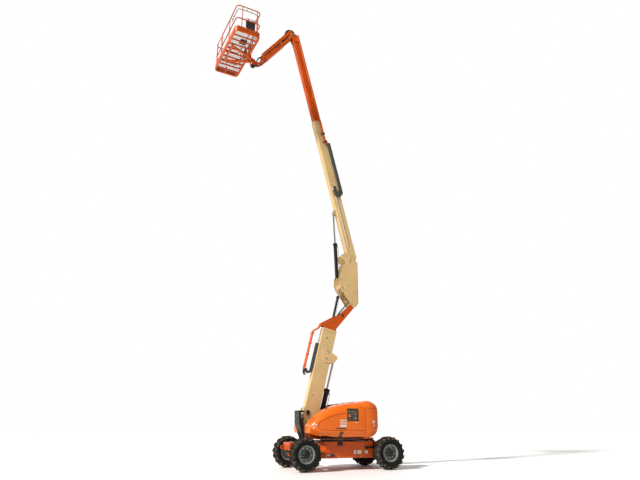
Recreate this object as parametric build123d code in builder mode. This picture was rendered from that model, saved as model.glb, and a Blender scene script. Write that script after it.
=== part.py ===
"""Self-propelled articulating boom lift, tower and main boom raised.

Frame: +X towards the steering axle, +Y to the machine's left, +Z up,
origin on the ground under the slewing axis.  All sizes are millimetres.
"""
from build123d import *
from math import atan2, cos, degrees, hypot, radians, sin
import os

os.makedirs("parts", exist_ok=True)

# ---------------------------------------------------------------- clearances
RUN = 0.05        # radial running clearance of a pin in its bush
SEAT = 0.3        # gap between pieces that slide or rest on each other
OPEN = 6.0        # gap between pieces that swing past each other
PLATE = 16.0      # weldment plate
SKIN = 6.0        # moulded cover

# ------------------------------------------------------------------- chassis
WHEELBASE = 2550.0
WHEEL_Y = 880.0
TYRE_RADIUS = 450.0
TYRE_WIDTH = 340.0
RIM_RADIUS = 240.0
RIM_WIDTH = 260.0
HUB_RADIUS = 130.0
AXLE_Z = TYRE_RADIUS
AXLE_BEAM = 110.0
YOKE_HALF = 60.0
YOKE_WEB = 30.0
FRONT_X = WHEELBASE / 2
REAR_X = -WHEELBASE / 2
BODY_FRONT = 790.0
BODY_REAR = -880.0
BODY_HALF = 660.0
BODY_LOW = 320.0
BODY_TOP = 760.0
BODY_WALL = 20.0
BODY_CORNER_LONG = 170.0
BODY_CORNER_WIDE = 230.0
BELLY_THICK = 10.0
DRAIN_RADIUS = 60.0
END_HALF = 320.0
END_LOW = 530.0
END_REACH = 290.0
LUG_REACH = 75.0
LUG_BORE = 25.0
LUG_RADIUS = 55.0
LUG_THICK = 25.0
LUG_Y = 200.0
LUG_Z = 600.0
LUG_SPLAY = 20.0
LUG_PLATE = 12.0
KINGPIN_Y = 590.0
KINGPIN_RADIUS = 25.0
KNUCKLE_RADIUS = 55.0
KNUCKLE_HEIGHT = 170.0
SPINDLE_RADIUS = 45.0
STEER_ARM = 170.0
TIE_ROD_RADIUS = 22.0

# ----------------------------------------------------------------- turntable
RING_OUTER = 500.0
RING_INNER = 400.0
DECK_LOW = 830.0
DECK_THICK = 35.0
DECK_TOP = DECK_LOW + DECK_THICK
DECK_HALF = 800.0
DECK_FRONT = 850.0
DECK_REAR = -520.0
DECK_CORNER = 80.0
TAIL_INSET = 60.0
TAIL_CORNER_LONG = 80.0
TAIL_CORNER_WIDE = 110.0
CHANNEL_HALF = 300.0
TAIL_REAR = -960.0
HOOD_BOTTOM = DECK_TOP + 20.0
HOOD_TOP = 1868.0
HOOD_SPLIT = DECK_REAR
PANEL_X = -138.0
PANEL_Z = 1490.0
PANEL_WIDE = 340.0
PANEL_TALL = 330.0
PANEL_GAP = 8.0

# ------------------------------------------------------------------ tower
TOWER_X = 975.0
TOWER_Z = 1569.0
TOWER_ANGLE = 103.7
TOWER_PIN = 45.0
TOWER_LOW = -109.0
TOWER_HIGH = 361.0
TOWER_WIDTH = 250.0
TOWER_START = -190.0
TOWER_END = 2610.0
TOWER_WALL = 10.0
TOWER_FLY_GAP = 22.0
TOWER_FLY_START = 150.0
MOUNT_THICK = 30.0
MOUNT_NOSE = TOWER_X + 120.0
DECK_NOSE = TOWER_X + 120.0
HEAD_PIN_X = -595.0
HEAD_PIN_Z = 4898.0
HEAD_PIN = 35.0
HEAD_WIDTH = 206.0

# ---------------------------------------------------------------- upright
UPRIGHT_HALF = 235.0
MAIN_X = -415.0
MAIN_Z = 6451.0
MAIN_PIN = 40.0

# --------------------------------------------------------------- main boom
MAIN_ANGLE = 76.0
MAIN_LOW = 44.0
MAIN_HIGH = 344.0
MAIN_WIDTH = 240.0
MAIN_START = 60.0
MAIN_END = 5300.0
MAIN_WALL = 8.0
FLY_GAP = 20.0
FLY_START = 4000.0
FLY_TRAVEL = 3400.0
NOSE_S = 9026.0
NOSE_H = 79.0
NOSE_PIN = 35.0

# -------------------------------------------------------------------- jib
JIB_ANGLE = -53.0
JIB_LENGTH = 1700.0
JIB_AHEAD = 88.066
JIB_BELOW = 158.001
LINK_DX = -30.0
LINK_DZ = 330.0
JIB_DEPTH = 150.0
JIB_WIDTH = 160.0
JIB_PIN = 28.0

# --------------------------------------------------------------- platform
ROTATOR_AHEAD = 326.9145
ROTATOR_RADIUS = 85.0
ROTATOR_BELOW = 212.3196
ROTATOR_TALL = 140.0
PLATFORM_TURN = 8.0
PLATFORM_LENGTH = 2440.0
PLATFORM_DEPTH = 900.0
PLATFORM_BACK = 185.0
FLOOR_ABOVE = 91.0
RAIL_HEIGHT = 1100.0
RAIL_RADIUS = 19.0
CORNER_RADIUS = 120.0
TOE_HEIGHT = 160.0
GATE_CORNER = 160.0
GATE_WIDE = 610.0


# ----------------------------------------------------------------- helpers
def tilted(pivot_x, pivot_z, angle):
    """Plane in the machine's middle: local x along the angle, local y across it."""
    direction = (cos(radians(angle)), 0, sin(radians(angle)))
    return Plane(origin=(pivot_x, 0, pivot_z), x_dir=direction, z_dir=(0, -1, 0))


def spot(plane, along, across):
    """World x and z of a point given in a boom's own plane."""
    point = plane.from_local_coords(Vector(along, across, 0))
    return point.X, point.Z


SIDE = tilted(0, 0, 0)
TOWER = tilted(TOWER_X, TOWER_Z, TOWER_ANGLE)
MAIN = tilted(MAIN_X, MAIN_Z, MAIN_ANGLE)
NOSE_X, NOSE_Z = spot(MAIN, NOSE_S, NOSE_H)
JIB_X = NOSE_X + JIB_AHEAD
JIB_Z = NOSE_Z - JIB_BELOW
JIB = tilted(JIB_X, JIB_Z, JIB_ANGLE)
JIB_END_X, JIB_END_Z = spot(JIB, JIB_LENGTH, 0)
ROTATOR_X = JIB_END_X + ROTATOR_AHEAD
ROTATOR_LOW = JIB_END_Z - ROTATOR_BELOW
ROTATOR_HIGH = ROTATOR_LOW + ROTATOR_TALL
FLOOR_Z = ROTATOR_HIGH + FLOOR_ABOVE


def plates(plane, points, outer, inner=0.0):
    """Plate cut to a closed outline, between two distances from the middle, on both sides."""
    with BuildPart() as work:
        with BuildSketch(plane):
            with BuildLine():
                Polyline(*points, close=True)
            make_face()
        extrude(amount=outer, both=True)
        if inner > 0:
            with BuildSketch(plane):
                with BuildLine():
                    Polyline(*points, close=True)
                make_face()
            extrude(amount=inner, both=True, mode=Mode.SUBTRACT)
    return work.part


def pin(plane, along, across, radius, half):
    """Round bar across the machine, centred on its middle."""
    with BuildPart() as work:
        with BuildSketch(plane):
            with Locations((along, across)):
                Circle(radius)
        extrude(amount=half, both=True)
    return work.part


def box_tube(plane, start, end, low, high, width, wall, corner=18.0):
    """Rectangular tube with rounded corners, lying along a boom's own axis."""
    middle = plane.from_local_coords(Vector(start, (low + high) / 2, 0))
    section = Plane(origin=middle, x_dir=(0, 1, 0), z_dir=plane.x_dir)
    depth = high - low
    with BuildPart() as work:
        with BuildSketch(section):
            RectangleRounded(width, depth, corner)
            RectangleRounded(width - 2 * wall, depth - 2 * wall, corner - wall / 2, mode=Mode.SUBTRACT)
        extrude(amount=end - start)
    return work.part


def block(x0, x1, y0, y1, z0, z1):
    """Plain box between two corners."""
    with BuildPart(Plane((x0, y0, z0))) as work:
        Box(x1 - x0, y1 - y0, z1 - z0, align=(Align.MIN, Align.MIN, Align.MIN))
    return work.part


def barrel(base, tip, length, radius, rod_radius, eye_half, eye_pin):
    """Hydraulic barrel from its base pin towards the rod's eye, bored for the rod."""
    plane = tilted(*base, degrees(atan2(tip[1] - base[1], tip[0] - base[0])))
    section = Plane(origin=plane.origin, x_dir=(0, 1, 0), z_dir=plane.x_dir)
    with BuildPart() as work:
        with BuildSketch(section.offset(radius * 0.6)):
            Circle(radius)
        extrude(amount=length - radius * 0.6)
        with BuildSketch(section.offset(length - radius * 1.1)):
            Circle(radius * 1.22)
        extrude(amount=radius * 1.1)
        add(pin(plane, 0, 0, radius * 0.95, eye_half))
        with BuildSketch(plane):
            Circle(eye_pin + RUN)
        extrude(amount=eye_half + 1, both=True, mode=Mode.SUBTRACT)
        with BuildSketch(section.offset(radius * 1.4)):
            Circle(rod_radius + SEAT)
        extrude(amount=length, mode=Mode.SUBTRACT)
    return work.part


def rod(base, tip, barrel_radius, radius, eye_half, stroke):
    """Plated rod that runs in the barrel, with the eye at its tip."""
    reach = hypot(tip[0] - base[0], tip[1] - base[1])
    plane = tilted(*base, degrees(atan2(tip[1] - base[1], tip[0] - base[0])))
    section = Plane(origin=plane.origin, x_dir=(0, 1, 0), z_dir=plane.x_dir)
    tail = barrel_radius * 1.4 + OPEN + stroke
    with BuildPart() as work:
        with BuildSketch(section.offset(tail)):
            Circle(radius)
        extrude(amount=reach - tail)
        add(pin(plane, reach, 0, radius * 1.5, eye_half))
    return work.part


def flat_plate(outline, low, thick, inset=0.0):
    """Level plate cut to an outline given for one side and mirrored to the other."""
    mirrored = [(x, -y) for x, y in reversed(outline)]
    with BuildPart() as work:
        with BuildSketch(Plane.XY.offset(low)):
            with BuildLine():
                Polyline(*outline, *mirrored, close=True)
            make_face()
            if inset > 0:
                offset(amount=-inset)
        extrude(amount=thick)
    return work.part


def save(work, name):
    """Label a finished piece and write it."""
    work.part.label = name
    export_step(work.part, f"parts/{name}.step")


# ------------------------------------------------------------------ chassis
BODY_OUTLINE = ((BODY_FRONT, BODY_HALF - BODY_CORNER_WIDE), (BODY_FRONT - BODY_CORNER_LONG, BODY_HALF),
                (BODY_REAR, BODY_HALF))

with BuildPart() as chassis_frame:
    add(flat_plate(BODY_OUTLINE, BODY_LOW, BODY_TOP - BODY_LOW))
    add(flat_plate(BODY_OUTLINE, BODY_LOW + BELLY_THICK, BODY_TOP - BODY_LOW - BELLY_THICK - BODY_WALL, BODY_WALL),
        mode=Mode.SUBTRACT)
    with BuildSketch(Plane.XY.offset(BODY_LOW)):
        Circle(DRAIN_RADIUS)
    extrude(amount=BELLY_THICK, mode=Mode.SUBTRACT)
    for front, near in ((1, BODY_FRONT), (-1, BODY_REAR)):
        tip = front * (FRONT_X + END_REACH)
        low, high = sorted((near, tip))
        add(block(low, high, -END_HALF, END_HALF, END_LOW, BODY_TOP - BODY_WALL))
        add(block(low + BODY_WALL, high - BODY_WALL, -END_HALF + BODY_WALL, END_HALF - BODY_WALL,
                  END_LOW - 1, BODY_TOP - 2 * BODY_WALL), mode=Mode.SUBTRACT)
save(chassis_frame, "chassis_frame")

for front, end in ((1, "front"), (-1, "rear")):
    tip = front * (FRONT_X + END_REACH)
    with BuildPart() as tie_downs:
        x0, x1 = sorted((tip + front * SEAT, tip + front * (SEAT + LUG_PLATE)))
        add(block(x0, x1, -END_HALF + 40, END_HALF - 40, LUG_Z - LUG_RADIUS - 5, LUG_Z + LUG_RADIUS + 5))
        out, over = cos(radians(LUG_SPLAY)), sin(radians(LUG_SPLAY))
        root = (LUG_REACH - SEAT - LUG_PLATE / 2) / out
        for side in (-1, 1):
            lug_plane = Plane(origin=(tip + front * LUG_REACH, side * LUG_Y, LUG_Z),
                              x_dir=(front * out, -side * over, 0), z_dir=(front * over, side * out, 0))
            with BuildSketch(lug_plane):
                Circle(LUG_RADIUS)
                with Locations((-root / 2, 0)):
                    Rectangle(root, 2 * LUG_RADIUS)
                Circle(LUG_BORE, mode=Mode.SUBTRACT)
            extrude(amount=LUG_THICK / 2, both=True)
    save(tie_downs, f"tie_downs_{end}")

with BuildPart() as front_axle:
    add(block(FRONT_X - AXLE_BEAM, FRONT_X + AXLE_BEAM, -END_HALF, END_HALF, AXLE_Z - 60, END_LOW))
    for side in (-1, 1):
        inner_y, outer_y = sorted((side * END_HALF, side * (KINGPIN_Y - 100)))
        add(block(FRONT_X - 70, FRONT_X + 70, inner_y, outer_y, AXLE_Z - 60, AXLE_Z + 60))
        for level in (-1, 1):
            z = AXLE_Z + level * (KNUCKLE_HEIGHT / 2 + SEAT)
            z0, z1 = sorted((z, z + level * 25))
            y0, y1 = sorted((side * (KINGPIN_Y - 150), side * (KINGPIN_Y + 40)))
            add(block(FRONT_X - YOKE_HALF, FRONT_X + YOKE_HALF, y0, y1, z0, z1))
        y0, y1 = sorted((side * (KINGPIN_Y - 150), side * (KINGPIN_Y - KNUCKLE_RADIUS - OPEN)))
        reach = KNUCKLE_HEIGHT / 2 + SEAT
        add(block(FRONT_X - YOKE_WEB, FRONT_X + YOKE_WEB, y0, y1, AXLE_Z - reach, AXLE_Z + reach))
        with BuildSketch(Plane.XY.offset(AXLE_Z - KNUCKLE_HEIGHT / 2 - 20)):
            with Locations((FRONT_X, side * KINGPIN_Y)):
                Circle(KINGPIN_RADIUS)
        extrude(amount=KNUCKLE_HEIGHT + 40)
save(front_axle, "front_axle")

with BuildPart() as rear_axle:
    add(block(REAR_X - AXLE_BEAM, REAR_X + AXLE_BEAM, -END_HALF, END_HALF, AXLE_Z - 80, END_LOW))
    add(block(REAR_X - 80, REAR_X + 80, -WHEEL_Y + 260, WHEEL_Y - 260, AXLE_Z - 80, AXLE_Z + 75))
    for side in (-1, 1):
        with BuildSketch(SIDE.offset(-side * (WHEEL_Y - 260))):
            with Locations((REAR_X, AXLE_Z)):
                Circle(110)
        extrude(amount=-side * 100)
        with BuildSketch(SIDE.offset(-side * (WHEEL_Y - 160))):
            with Locations((REAR_X, AXLE_Z)):
                Circle(SPINDLE_RADIUS)
        extrude(amount=-side * 180)
save(rear_axle, "rear_axle")

for side, name in ((1, "left"), (-1, "right")):
    with BuildPart() as knuckle:
        with BuildSketch(Plane.XY.offset(AXLE_Z - KNUCKLE_HEIGHT / 2)):
            with Locations((FRONT_X, side * KINGPIN_Y)):
                Circle(KNUCKLE_RADIUS)
        extrude(amount=KNUCKLE_HEIGHT)
        y0, y1 = sorted((side * KINGPIN_Y, side * (KINGPIN_Y + 110)))
        add(block(FRONT_X - 55, FRONT_X + 55, y0, y1, AXLE_Z - 55, AXLE_Z + 55))
        with BuildSketch(SIDE.offset(-side * (KINGPIN_Y + 110))):
            with Locations((FRONT_X, AXLE_Z)):
                Circle(SPINDLE_RADIUS)
        extrude(amount=-side * 200)
        add(block(FRONT_X - STEER_ARM - 30, FRONT_X, side * KINGPIN_Y - 25, side * KINGPIN_Y + 25,
                  AXLE_Z - 25, AXLE_Z))
        with BuildSketch(Plane.XY.offset(AXLE_Z - KNUCKLE_HEIGHT / 2)):
            with Locations((FRONT_X, side * KINGPIN_Y)):
                Circle(KINGPIN_RADIUS + RUN)
        extrude(amount=KNUCKLE_HEIGHT, mode=Mode.SUBTRACT)
    save(knuckle, f"knuckle_{name}")

with BuildPart() as tie_rod:
    with BuildSketch(SIDE):
        with Locations((FRONT_X - STEER_ARM, AXLE_Z + SEAT + TIE_ROD_RADIUS)):
            Circle(TIE_ROD_RADIUS)
    extrude(amount=KINGPIN_Y - 20, both=True)
    for side in (-1, 1):
        with BuildSketch(Plane.XY.offset(AXLE_Z + SEAT)):
            with Locations((FRONT_X - STEER_ARM, side * KINGPIN_Y)):
                Circle(28)
        extrude(amount=2 * TIE_ROD_RADIUS)
save(tie_rod, "tie_rod")

for end, end_x in (("front", FRONT_X), ("rear", REAR_X)):
    for side, name in ((1, "left"), (-1, "right")):
        hub_plane = Plane(origin=(end_x, side * WHEEL_Y, AXLE_Z), x_dir=(0, side, 0), z_dir=(side, 0, 0))
        half = TYRE_WIDTH / 2
        rim_half = RIM_WIDTH / 2
        with BuildPart() as tyre:
            with BuildSketch(hub_plane):
                with BuildLine():
                    Polyline((-rim_half, RIM_RADIUS), (-half + 10, RIM_RADIUS + 40), (-half, RIM_RADIUS + 110),
                             (-half + 14, TYRE_RADIUS - 45), (-half + 50, TYRE_RADIUS), (half - 50, TYRE_RADIUS),
                             (half - 14, TYRE_RADIUS - 45), (half, RIM_RADIUS + 110), (half - 10, RIM_RADIUS + 40),
                             (rim_half, RIM_RADIUS), close=True)
                make_face()
            revolve(axis=Axis((end_x, 0, AXLE_Z), (0, 1, 0)))
        save(tyre, f"tyre_{end}_{name}")
        with BuildPart() as rim:
            with BuildSketch(hub_plane):
                with BuildLine():
                    Polyline((-rim_half, RIM_RADIUS - SEAT), (-rim_half, RIM_RADIUS - 25),
                             (-rim_half + 20, RIM_RADIUS - 40), (-10, RIM_RADIUS - 48), (-10, HUB_RADIUS),
                             (-60, HUB_RADIUS - 20), (-60, SPINDLE_RADIUS + RUN), (40, SPINDLE_RADIUS + RUN),
                             (40, 0), (80, 0), (80, HUB_RADIUS - 10), (20, HUB_RADIUS), (10, RIM_RADIUS - 48),
                             (rim_half - 40, RIM_RADIUS - 40), (rim_half, RIM_RADIUS - 25),
                             (rim_half, RIM_RADIUS - SEAT), close=True)
                make_face()
            revolve(axis=Axis((end_x, 0, AXLE_Z), (0, 1, 0)))
        save(rim, f"rim_{end}_{name}")

with BuildPart() as slewing_ring:
    with BuildSketch(Plane.XY.offset(BODY_TOP)):
        Circle(RING_OUTER)
        Circle(RING_INNER, mode=Mode.SUBTRACT)
    extrude(amount=DECK_LOW - BODY_TOP - SEAT)
save(slewing_ring, "slewing_ring")

# ---------------------------------------------------------------- turntable
TOWER_CYL_BASE = (620.0, 1000.0)
TOWER_CYL_TIP = (70.0, 3181.0)
TOWER_CYL_LENGTH = 1288.0
TOWER_CYL_RADIUS = 75.0
TOWER_ROD_RADIUS = 38.0
TOWER_STROKE = 798.0

TAIL_HALF = DECK_HALF - TAIL_INSET
TAIL_PLATE = TAIL_REAR + 40
DECK_OUTLINE = ((DECK_FRONT, DECK_HALF - DECK_CORNER), (DECK_FRONT - DECK_CORNER, DECK_HALF), (DECK_REAR, DECK_HALF),
                (DECK_REAR, TAIL_HALF), (TAIL_PLATE + TAIL_CORNER_LONG, TAIL_HALF),
                (TAIL_PLATE, TAIL_HALF - TAIL_CORNER_WIDE))

with BuildPart() as turntable_deck:
    add(flat_plate(DECK_OUTLINE, DECK_LOW, DECK_THICK))
    add(block(DECK_FRONT, DECK_NOSE, -CHANNEL_HALF, CHANNEL_HALF, DECK_LOW, DECK_TOP))
    for side in (-1, 1):
        add(plates(SIDE.offset(-side * (CHANNEL_HALF - 6)),
                   ((DECK_REAR, DECK_TOP), (TOWER_X, DECK_TOP), (TOWER_X, 1200), (500, 1500), (DECK_REAR, 1700)), 6))
        add(plates(SIDE.offset(-side * (TOWER_CYL_RADIUS + 20)),
                   ((540, DECK_TOP), (720, DECK_TOP), (665, 1040), (575, 1040)), 10))
    add(pin(SIDE, *TOWER_CYL_BASE, 30, TOWER_CYL_RADIUS + 35))
save(turntable_deck, "turntable_deck")

with BuildPart() as tower_mounts:
    mount_outline = ((MOUNT_NOSE, 1720), (1020, 1672), (560, 1640), (450, DECK_TOP), (MOUNT_NOSE, DECK_TOP))
    add(plates(SIDE, mount_outline, TOWER_WIDTH / 2 + OPEN + MOUNT_THICK, TOWER_WIDTH / 2 + OPEN))
    add(pin(SIDE, TOWER_X, TOWER_Z, TOWER_PIN, TOWER_WIDTH / 2 + OPEN + MOUNT_THICK + 12))
save(tower_mounts, "tower_mounts")

with BuildPart() as front_guard:
    guard_outline = ((1265, 1616), (1260, 1238), (1192, 1047), (1110, DECK_LOW), (DECK_NOSE + SEAT, DECK_LOW),
                     (DECK_NOSE + SEAT, DECK_TOP + 60), (1142, 1065), (1206, 1250), (1210, 1560),
                     (MOUNT_NOSE + SEAT, 1575), (MOUNT_NOSE + SEAT, 1616))
    add(plates(SIDE, guard_outline, 230))
    half = TOWER_WIDTH / 2 + OPEN
    add(block(MOUNT_NOSE - 1, TOWER_X + hypot(TOWER_START, TOWER_LOW) + OPEN, -half, half, 1500, 1700),
        mode=Mode.SUBTRACT)
save(front_guard, "front_guard")


def cover_section(x, low, top, outer, crown, inset):
    """Cross-section of the engine cover at one station, shrunk by a wall thickness."""
    plane = Plane(origin=(x, 0, 0), x_dir=(0, 1, 0), z_dir=(1, 0, 0))
    inner = CHANNEL_HALF + OPEN + inset
    side = outer - inset
    with BuildSketch(plane) as section:
        with BuildLine():
            Polyline((inner, low + inset), (outer - 70, low + inset), (side, low + 130), (side, top - inset),
                     (inner, top - inset), close=True)
        make_face()
        fillet(section.vertices().sort_by_distance((side, top - inset))[0:1], crown - inset)
    return section.sketch


def cover(stations, inset=0.0):
    """Loft of the engine cover through a short table of stations."""
    with BuildPart() as work:
        for station in stations:
            add(cover_section(*station, inset))
        loft()
    return work.part


# station columns: x, underside, top, outer face, crown radius
HOOD_STATIONS = (
    (HOOD_SPLIT + SEAT, HOOD_BOTTOM, HOOD_TOP, 945.0, 260.0),
    (100.0, HOOD_BOTTOM, 1795.0, 950.0, 250.0),
    (520.0, HOOD_BOTTOM, 1670.0, 940.0, 220.0),
    (890.0, 925.0, 1440.0, 895.0, 170.0),
    (1110.0, 1000.0, 1190.0, 795.0, 40.0),
)
TAIL_STATIONS = (
    (HOOD_SPLIT - SEAT, DECK_TOP + 12, HOOD_TOP, 945.0, 260.0),
    (-850.0, 940.0, 1862.0, 920.0, 250.0),
    (TAIL_REAR, 1030.0, 1790.0, 870.0, 220.0),
)

for side, name in ((1, "left"), (-1, "right")):
    with BuildPart() as hood:
        shell = cover(HOOD_STATIONS)
        add(shell if side > 0 else shell.mirror(Plane.XZ))
        stations = list(HOOD_STATIONS)
        stations[0] = (HOOD_SPLIT + SEAT + SKIN, *HOOD_STATIONS[0][1:])
        stations[-1] = (HOOD_STATIONS[-1][0] - SKIN, *HOOD_STATIONS[-1][1:])
        hollow = cover(stations, SKIN)
        add(hollow if side > 0 else hollow.mirror(Plane.XZ), mode=Mode.SUBTRACT)
        y0, y1 = sorted((side * (CHANNEL_HALF - 1), side * 880))
        add(block(HOOD_SPLIT + 20, 800, y0, y1, DECK_TOP - 20, HOOD_BOTTOM + 40), mode=Mode.SUBTRACT)
        y0, y1 = sorted((side * (CHANNEL_HALF - 1), side * (CHANNEL_HALF + OPEN + SKIN + 1)))
        add(block(HOOD_SPLIT + 20, 450, y0, y1, DECK_TOP - 20, 1560), mode=Mode.SUBTRACT)
        if side > 0:
            add(block(PANEL_X - PANEL_WIDE / 2 - PANEL_GAP, PANEL_X + PANEL_WIDE / 2 + PANEL_GAP, 850, 960,
                      PANEL_Z - PANEL_TALL / 2 - PANEL_GAP, PANEL_Z + PANEL_TALL / 2 + PANEL_GAP),
                mode=Mode.SUBTRACT)
    save(hood, f"hood_{name}")

with BuildPart() as counterweight:
    half_tail = cover(TAIL_STATIONS)
    add(half_tail)
    add(half_tail.mirror(Plane.XZ))
    add(block(-800, HOOD_SPLIT - SEAT, -CHANNEL_HALF - 300, CHANNEL_HALF + 300, DECK_TOP, 980))
save(counterweight, "counterweight")

with BuildPart() as engine_block:
    add(block(-420, 430, -830, -380, DECK_TOP, 1480))
save(engine_block, "engine_block")

with BuildPart() as control_panel:
    add(block(PANEL_X - PANEL_WIDE / 2, PANEL_X + PANEL_WIDE / 2, 820, 940,
              PANEL_Z - PANEL_TALL / 2, PANEL_Z + PANEL_TALL / 2))
    add(block(PANEL_X - 60, PANEL_X + 60, 740, 790, DECK_TOP, PANEL_Z + 100))
    add(block(PANEL_X - 60, PANEL_X + 60, 740, 820, PANEL_Z - 60, PANEL_Z + 100))
save(control_panel, "control_panel")

with BuildPart() as tower_lift_barrel:
    add(barrel(TOWER_CYL_BASE, TOWER_CYL_TIP, TOWER_CYL_LENGTH, TOWER_CYL_RADIUS, TOWER_ROD_RADIUS,
               TOWER_CYL_RADIUS + 4, 30))
save(tower_lift_barrel, "tower_lift_barrel")

with BuildPart() as tower_lift_rod:
    add(rod(TOWER_CYL_BASE, TOWER_CYL_TIP, TOWER_CYL_RADIUS, TOWER_ROD_RADIUS, 40, TOWER_STROKE))
save(tower_lift_rod, "tower_lift_rod")

# -------------------------------------------------------------------- tower
TOWER_LUG_ALONG = 1780.5
TOWER_LUG_OUT = 497.6

with BuildPart() as tower_base:
    add(box_tube(TOWER, TOWER_START, TOWER_END, TOWER_LOW, TOWER_HIGH, TOWER_WIDTH, TOWER_WALL))
    add(box_tube(TOWER, TOWER_END - 90, TOWER_END, TOWER_LOW, TOWER_HIGH, TOWER_WIDTH, TOWER_FLY_GAP - SEAT))
    along, out = TOWER_LUG_ALONG, TOWER_LUG_OUT
    lug_tip = ((along - 90, out + 32), (along - 40, out + 62), (along + 20, out + 67), (along + 70, out + 22),
               (along + 126, TOWER_HIGH - 6))
    add(plates(TOWER, ((along + 200, 0), (along - 230, 135), (along - 180, out - 28), *lug_tip),
               TOWER_WIDTH / 2 + PLATE, TOWER_WIDTH / 2 - 1))
    add(plates(TOWER, ((along - 140, TOWER_HIGH - 6), *lug_tip), 64, 46))
    add(pin(TOWER, 0, 0, TOWER_PIN + 40, TOWER_WIDTH / 2))
    with BuildSketch(TOWER):
        Circle(TOWER_PIN + RUN)
    extrude(amount=TOWER_WIDTH, both=True, mode=Mode.SUBTRACT)
save(tower_base, "tower_base")

LEVEL_BASE = (100.0, 4150.0)
LEVEL_TIP = (-415.0, 6350.0)
LEVEL_Y = -163.0
LEVEL_LENGTH = 1110.0
LEVEL_RADIUS = 40.0
LEVEL_ROD_RADIUS = 20.0
LEVEL_STROKE = 1029.0
LEVEL_PIN = 20.0
LEVEL_EYE_HALF = 22.0
FLY_LOW = TOWER_LOW + TOWER_FLY_GAP
FLY_HIGH = TOWER_HIGH - TOWER_FLY_GAP
HEAD = ((560, 4195), (413, 4334), (150, 4473), (-90, 4564), (-524, 4935), (-585, 4965), (-650, 4930), (-665, 4870),
        (-619, 4835), (23, 4090))

with BuildPart() as tower_fly:
    add(box_tube(TOWER, TOWER_FLY_START, TOWER_END + 60, FLY_LOW, FLY_HIGH, TOWER_WIDTH - 2 * TOWER_FLY_GAP, 10, 14))
    add(plates(SIDE, HEAD, HEAD_WIDTH / 2, HEAD_WIDTH / 2 - 14))
    add(plates(SIDE, ((-170, 4605), (-524, 4935), (-535, 4922), (-180, 4592)), HEAD_WIDTH / 2 - 13))
    add(plates(SIDE, ((-500, 4700), (23, 4090), (40, 4105), (-488, 4715)), HEAD_WIDTH / 2 - 13))
    add(pin(SIDE.offset(-LEVEL_Y), *LEVEL_BASE, LEVEL_PIN, -LEVEL_Y - HEAD_WIDTH / 2 + 1))
    with BuildSketch(SIDE):
        with Locations((HEAD_PIN_X, HEAD_PIN_Z)):
            Circle(HEAD_PIN + RUN)
    extrude(amount=HEAD_WIDTH, both=True, mode=Mode.SUBTRACT)
save(tower_fly, "tower_fly")

CARRIER_RADIUS = 24.0
CARRIER_OUT = -385.0
CARRIER_LOW = 1215.0
CARRIER_PITCH = 60.0

with BuildPart() as tower_hose_carrier:
    for row in (-1, 0, 1):
        with BuildLine(TOWER.offset(-row * CARRIER_PITCH)) as route:
            FilletPolyline((CARRIER_LOW, CARRIER_OUT), (2420, CARRIER_OUT), (2560, -230), (2700, -190), radius=90)
        with BuildSketch(Plane(origin=route.line @ 0, z_dir=route.line % 0)):
            Circle(CARRIER_RADIUS)
        sweep(path=route.line)
    for along in (CARRIER_LOW + 20, 1700, 2200):
        add(plates(TOWER, ((along, CARRIER_OUT - 12), (along + 40, CARRIER_OUT - 12), (along + 40, CARRIER_OUT + 12),
                           (along, CARRIER_OUT + 12)), CARRIER_PITCH))
    with BuildSketch(TOWER):
        with BuildLine():
            Polyline((2680, -215), (2735, -215), (2735, -20), (2680, -20), close=True)
        make_face()
    extrude(amount=HEAD_WIDTH / 2 - 14, both=True)
save(tower_hose_carrier, "tower_hose_carrier")

# ------------------------------------------------------------------ upright
UPRIGHT = ((-575, 4817), (-674, 4900), (-711, 4960), (-711, 6355), (-480, 6530), (-330, 6660), (-270, 6657),
           (-102, 6530), (-130, 6450), (-294, 6365), (-38, 5785), (-30, 5600), (-86, 5428), (-500, 4840))
MAIN_CYL_BASE = (-69.0, 5749.0)
MAIN_CYL_TIP = spot(MAIN, 1754, -36)
MAIN_CYL_LENGTH = 1276.0
MAIN_CYL_RADIUS = 60.0
MAIN_ROD_RADIUS = 30.0
MAIN_STROKE = 840.0

with BuildPart() as upright_frame:
    add(plates(SIDE, UPRIGHT, UPRIGHT_HALF, UPRIGHT_HALF - PLATE))
    inside = UPRIGHT_HALF - PLATE + 1
    add(plates(SIDE, ((-700, 5050), (-684, 5050), (-684, 5900), (-700, 5900)), inside))
    level_face = LEVEL_Y + LEVEL_RADIUS * 1.22 + OPEN
    add(plates(SIDE.offset(-(inside + level_face) / 2), ((-60, 5560), (-96, 5440), (-110, 5446), (-74, 5566)),
               (inside - level_face) / 2))
    add(pin(SIDE, HEAD_PIN_X, HEAD_PIN_Z, HEAD_PIN, UPRIGHT_HALF + 8))
    add(pin(SIDE, MAIN_X, MAIN_Z, MAIN_PIN, UPRIGHT_HALF + 8))
    add(plates(SIDE, ((-110, 5500), (-74, 5440), (20, 5690), (-20, 5790), (-110, 5800), (-150, 5700)), 84, 66))
    add(pin(SIDE, *MAIN_CYL_BASE, 26, 90))
    boss = (UPRIGHT_HALF + LEVEL_Y - LEVEL_EYE_HALF - SEAT) / 2
    add(pin(SIDE.offset(UPRIGHT_HALF - boss), *LEVEL_TIP, 35, boss))
save(upright_frame, "upright_frame")

with BuildPart() as level_barrel:
    middle_barrel = barrel(LEVEL_BASE, LEVEL_TIP, LEVEL_LENGTH, LEVEL_RADIUS, LEVEL_ROD_RADIUS,
                           LEVEL_EYE_HALF, LEVEL_PIN)
    add(middle_barrel.moved(Location((0, LEVEL_Y, 0))))
save(level_barrel, "level_barrel")

with BuildPart() as level_rod:
    middle_rod = rod(LEVEL_BASE, LEVEL_TIP, LEVEL_RADIUS, LEVEL_ROD_RADIUS, LEVEL_EYE_HALF, LEVEL_STROKE)
    add(middle_rod.moved(Location((0, LEVEL_Y, 0))))
save(level_rod, "level_rod")

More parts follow.
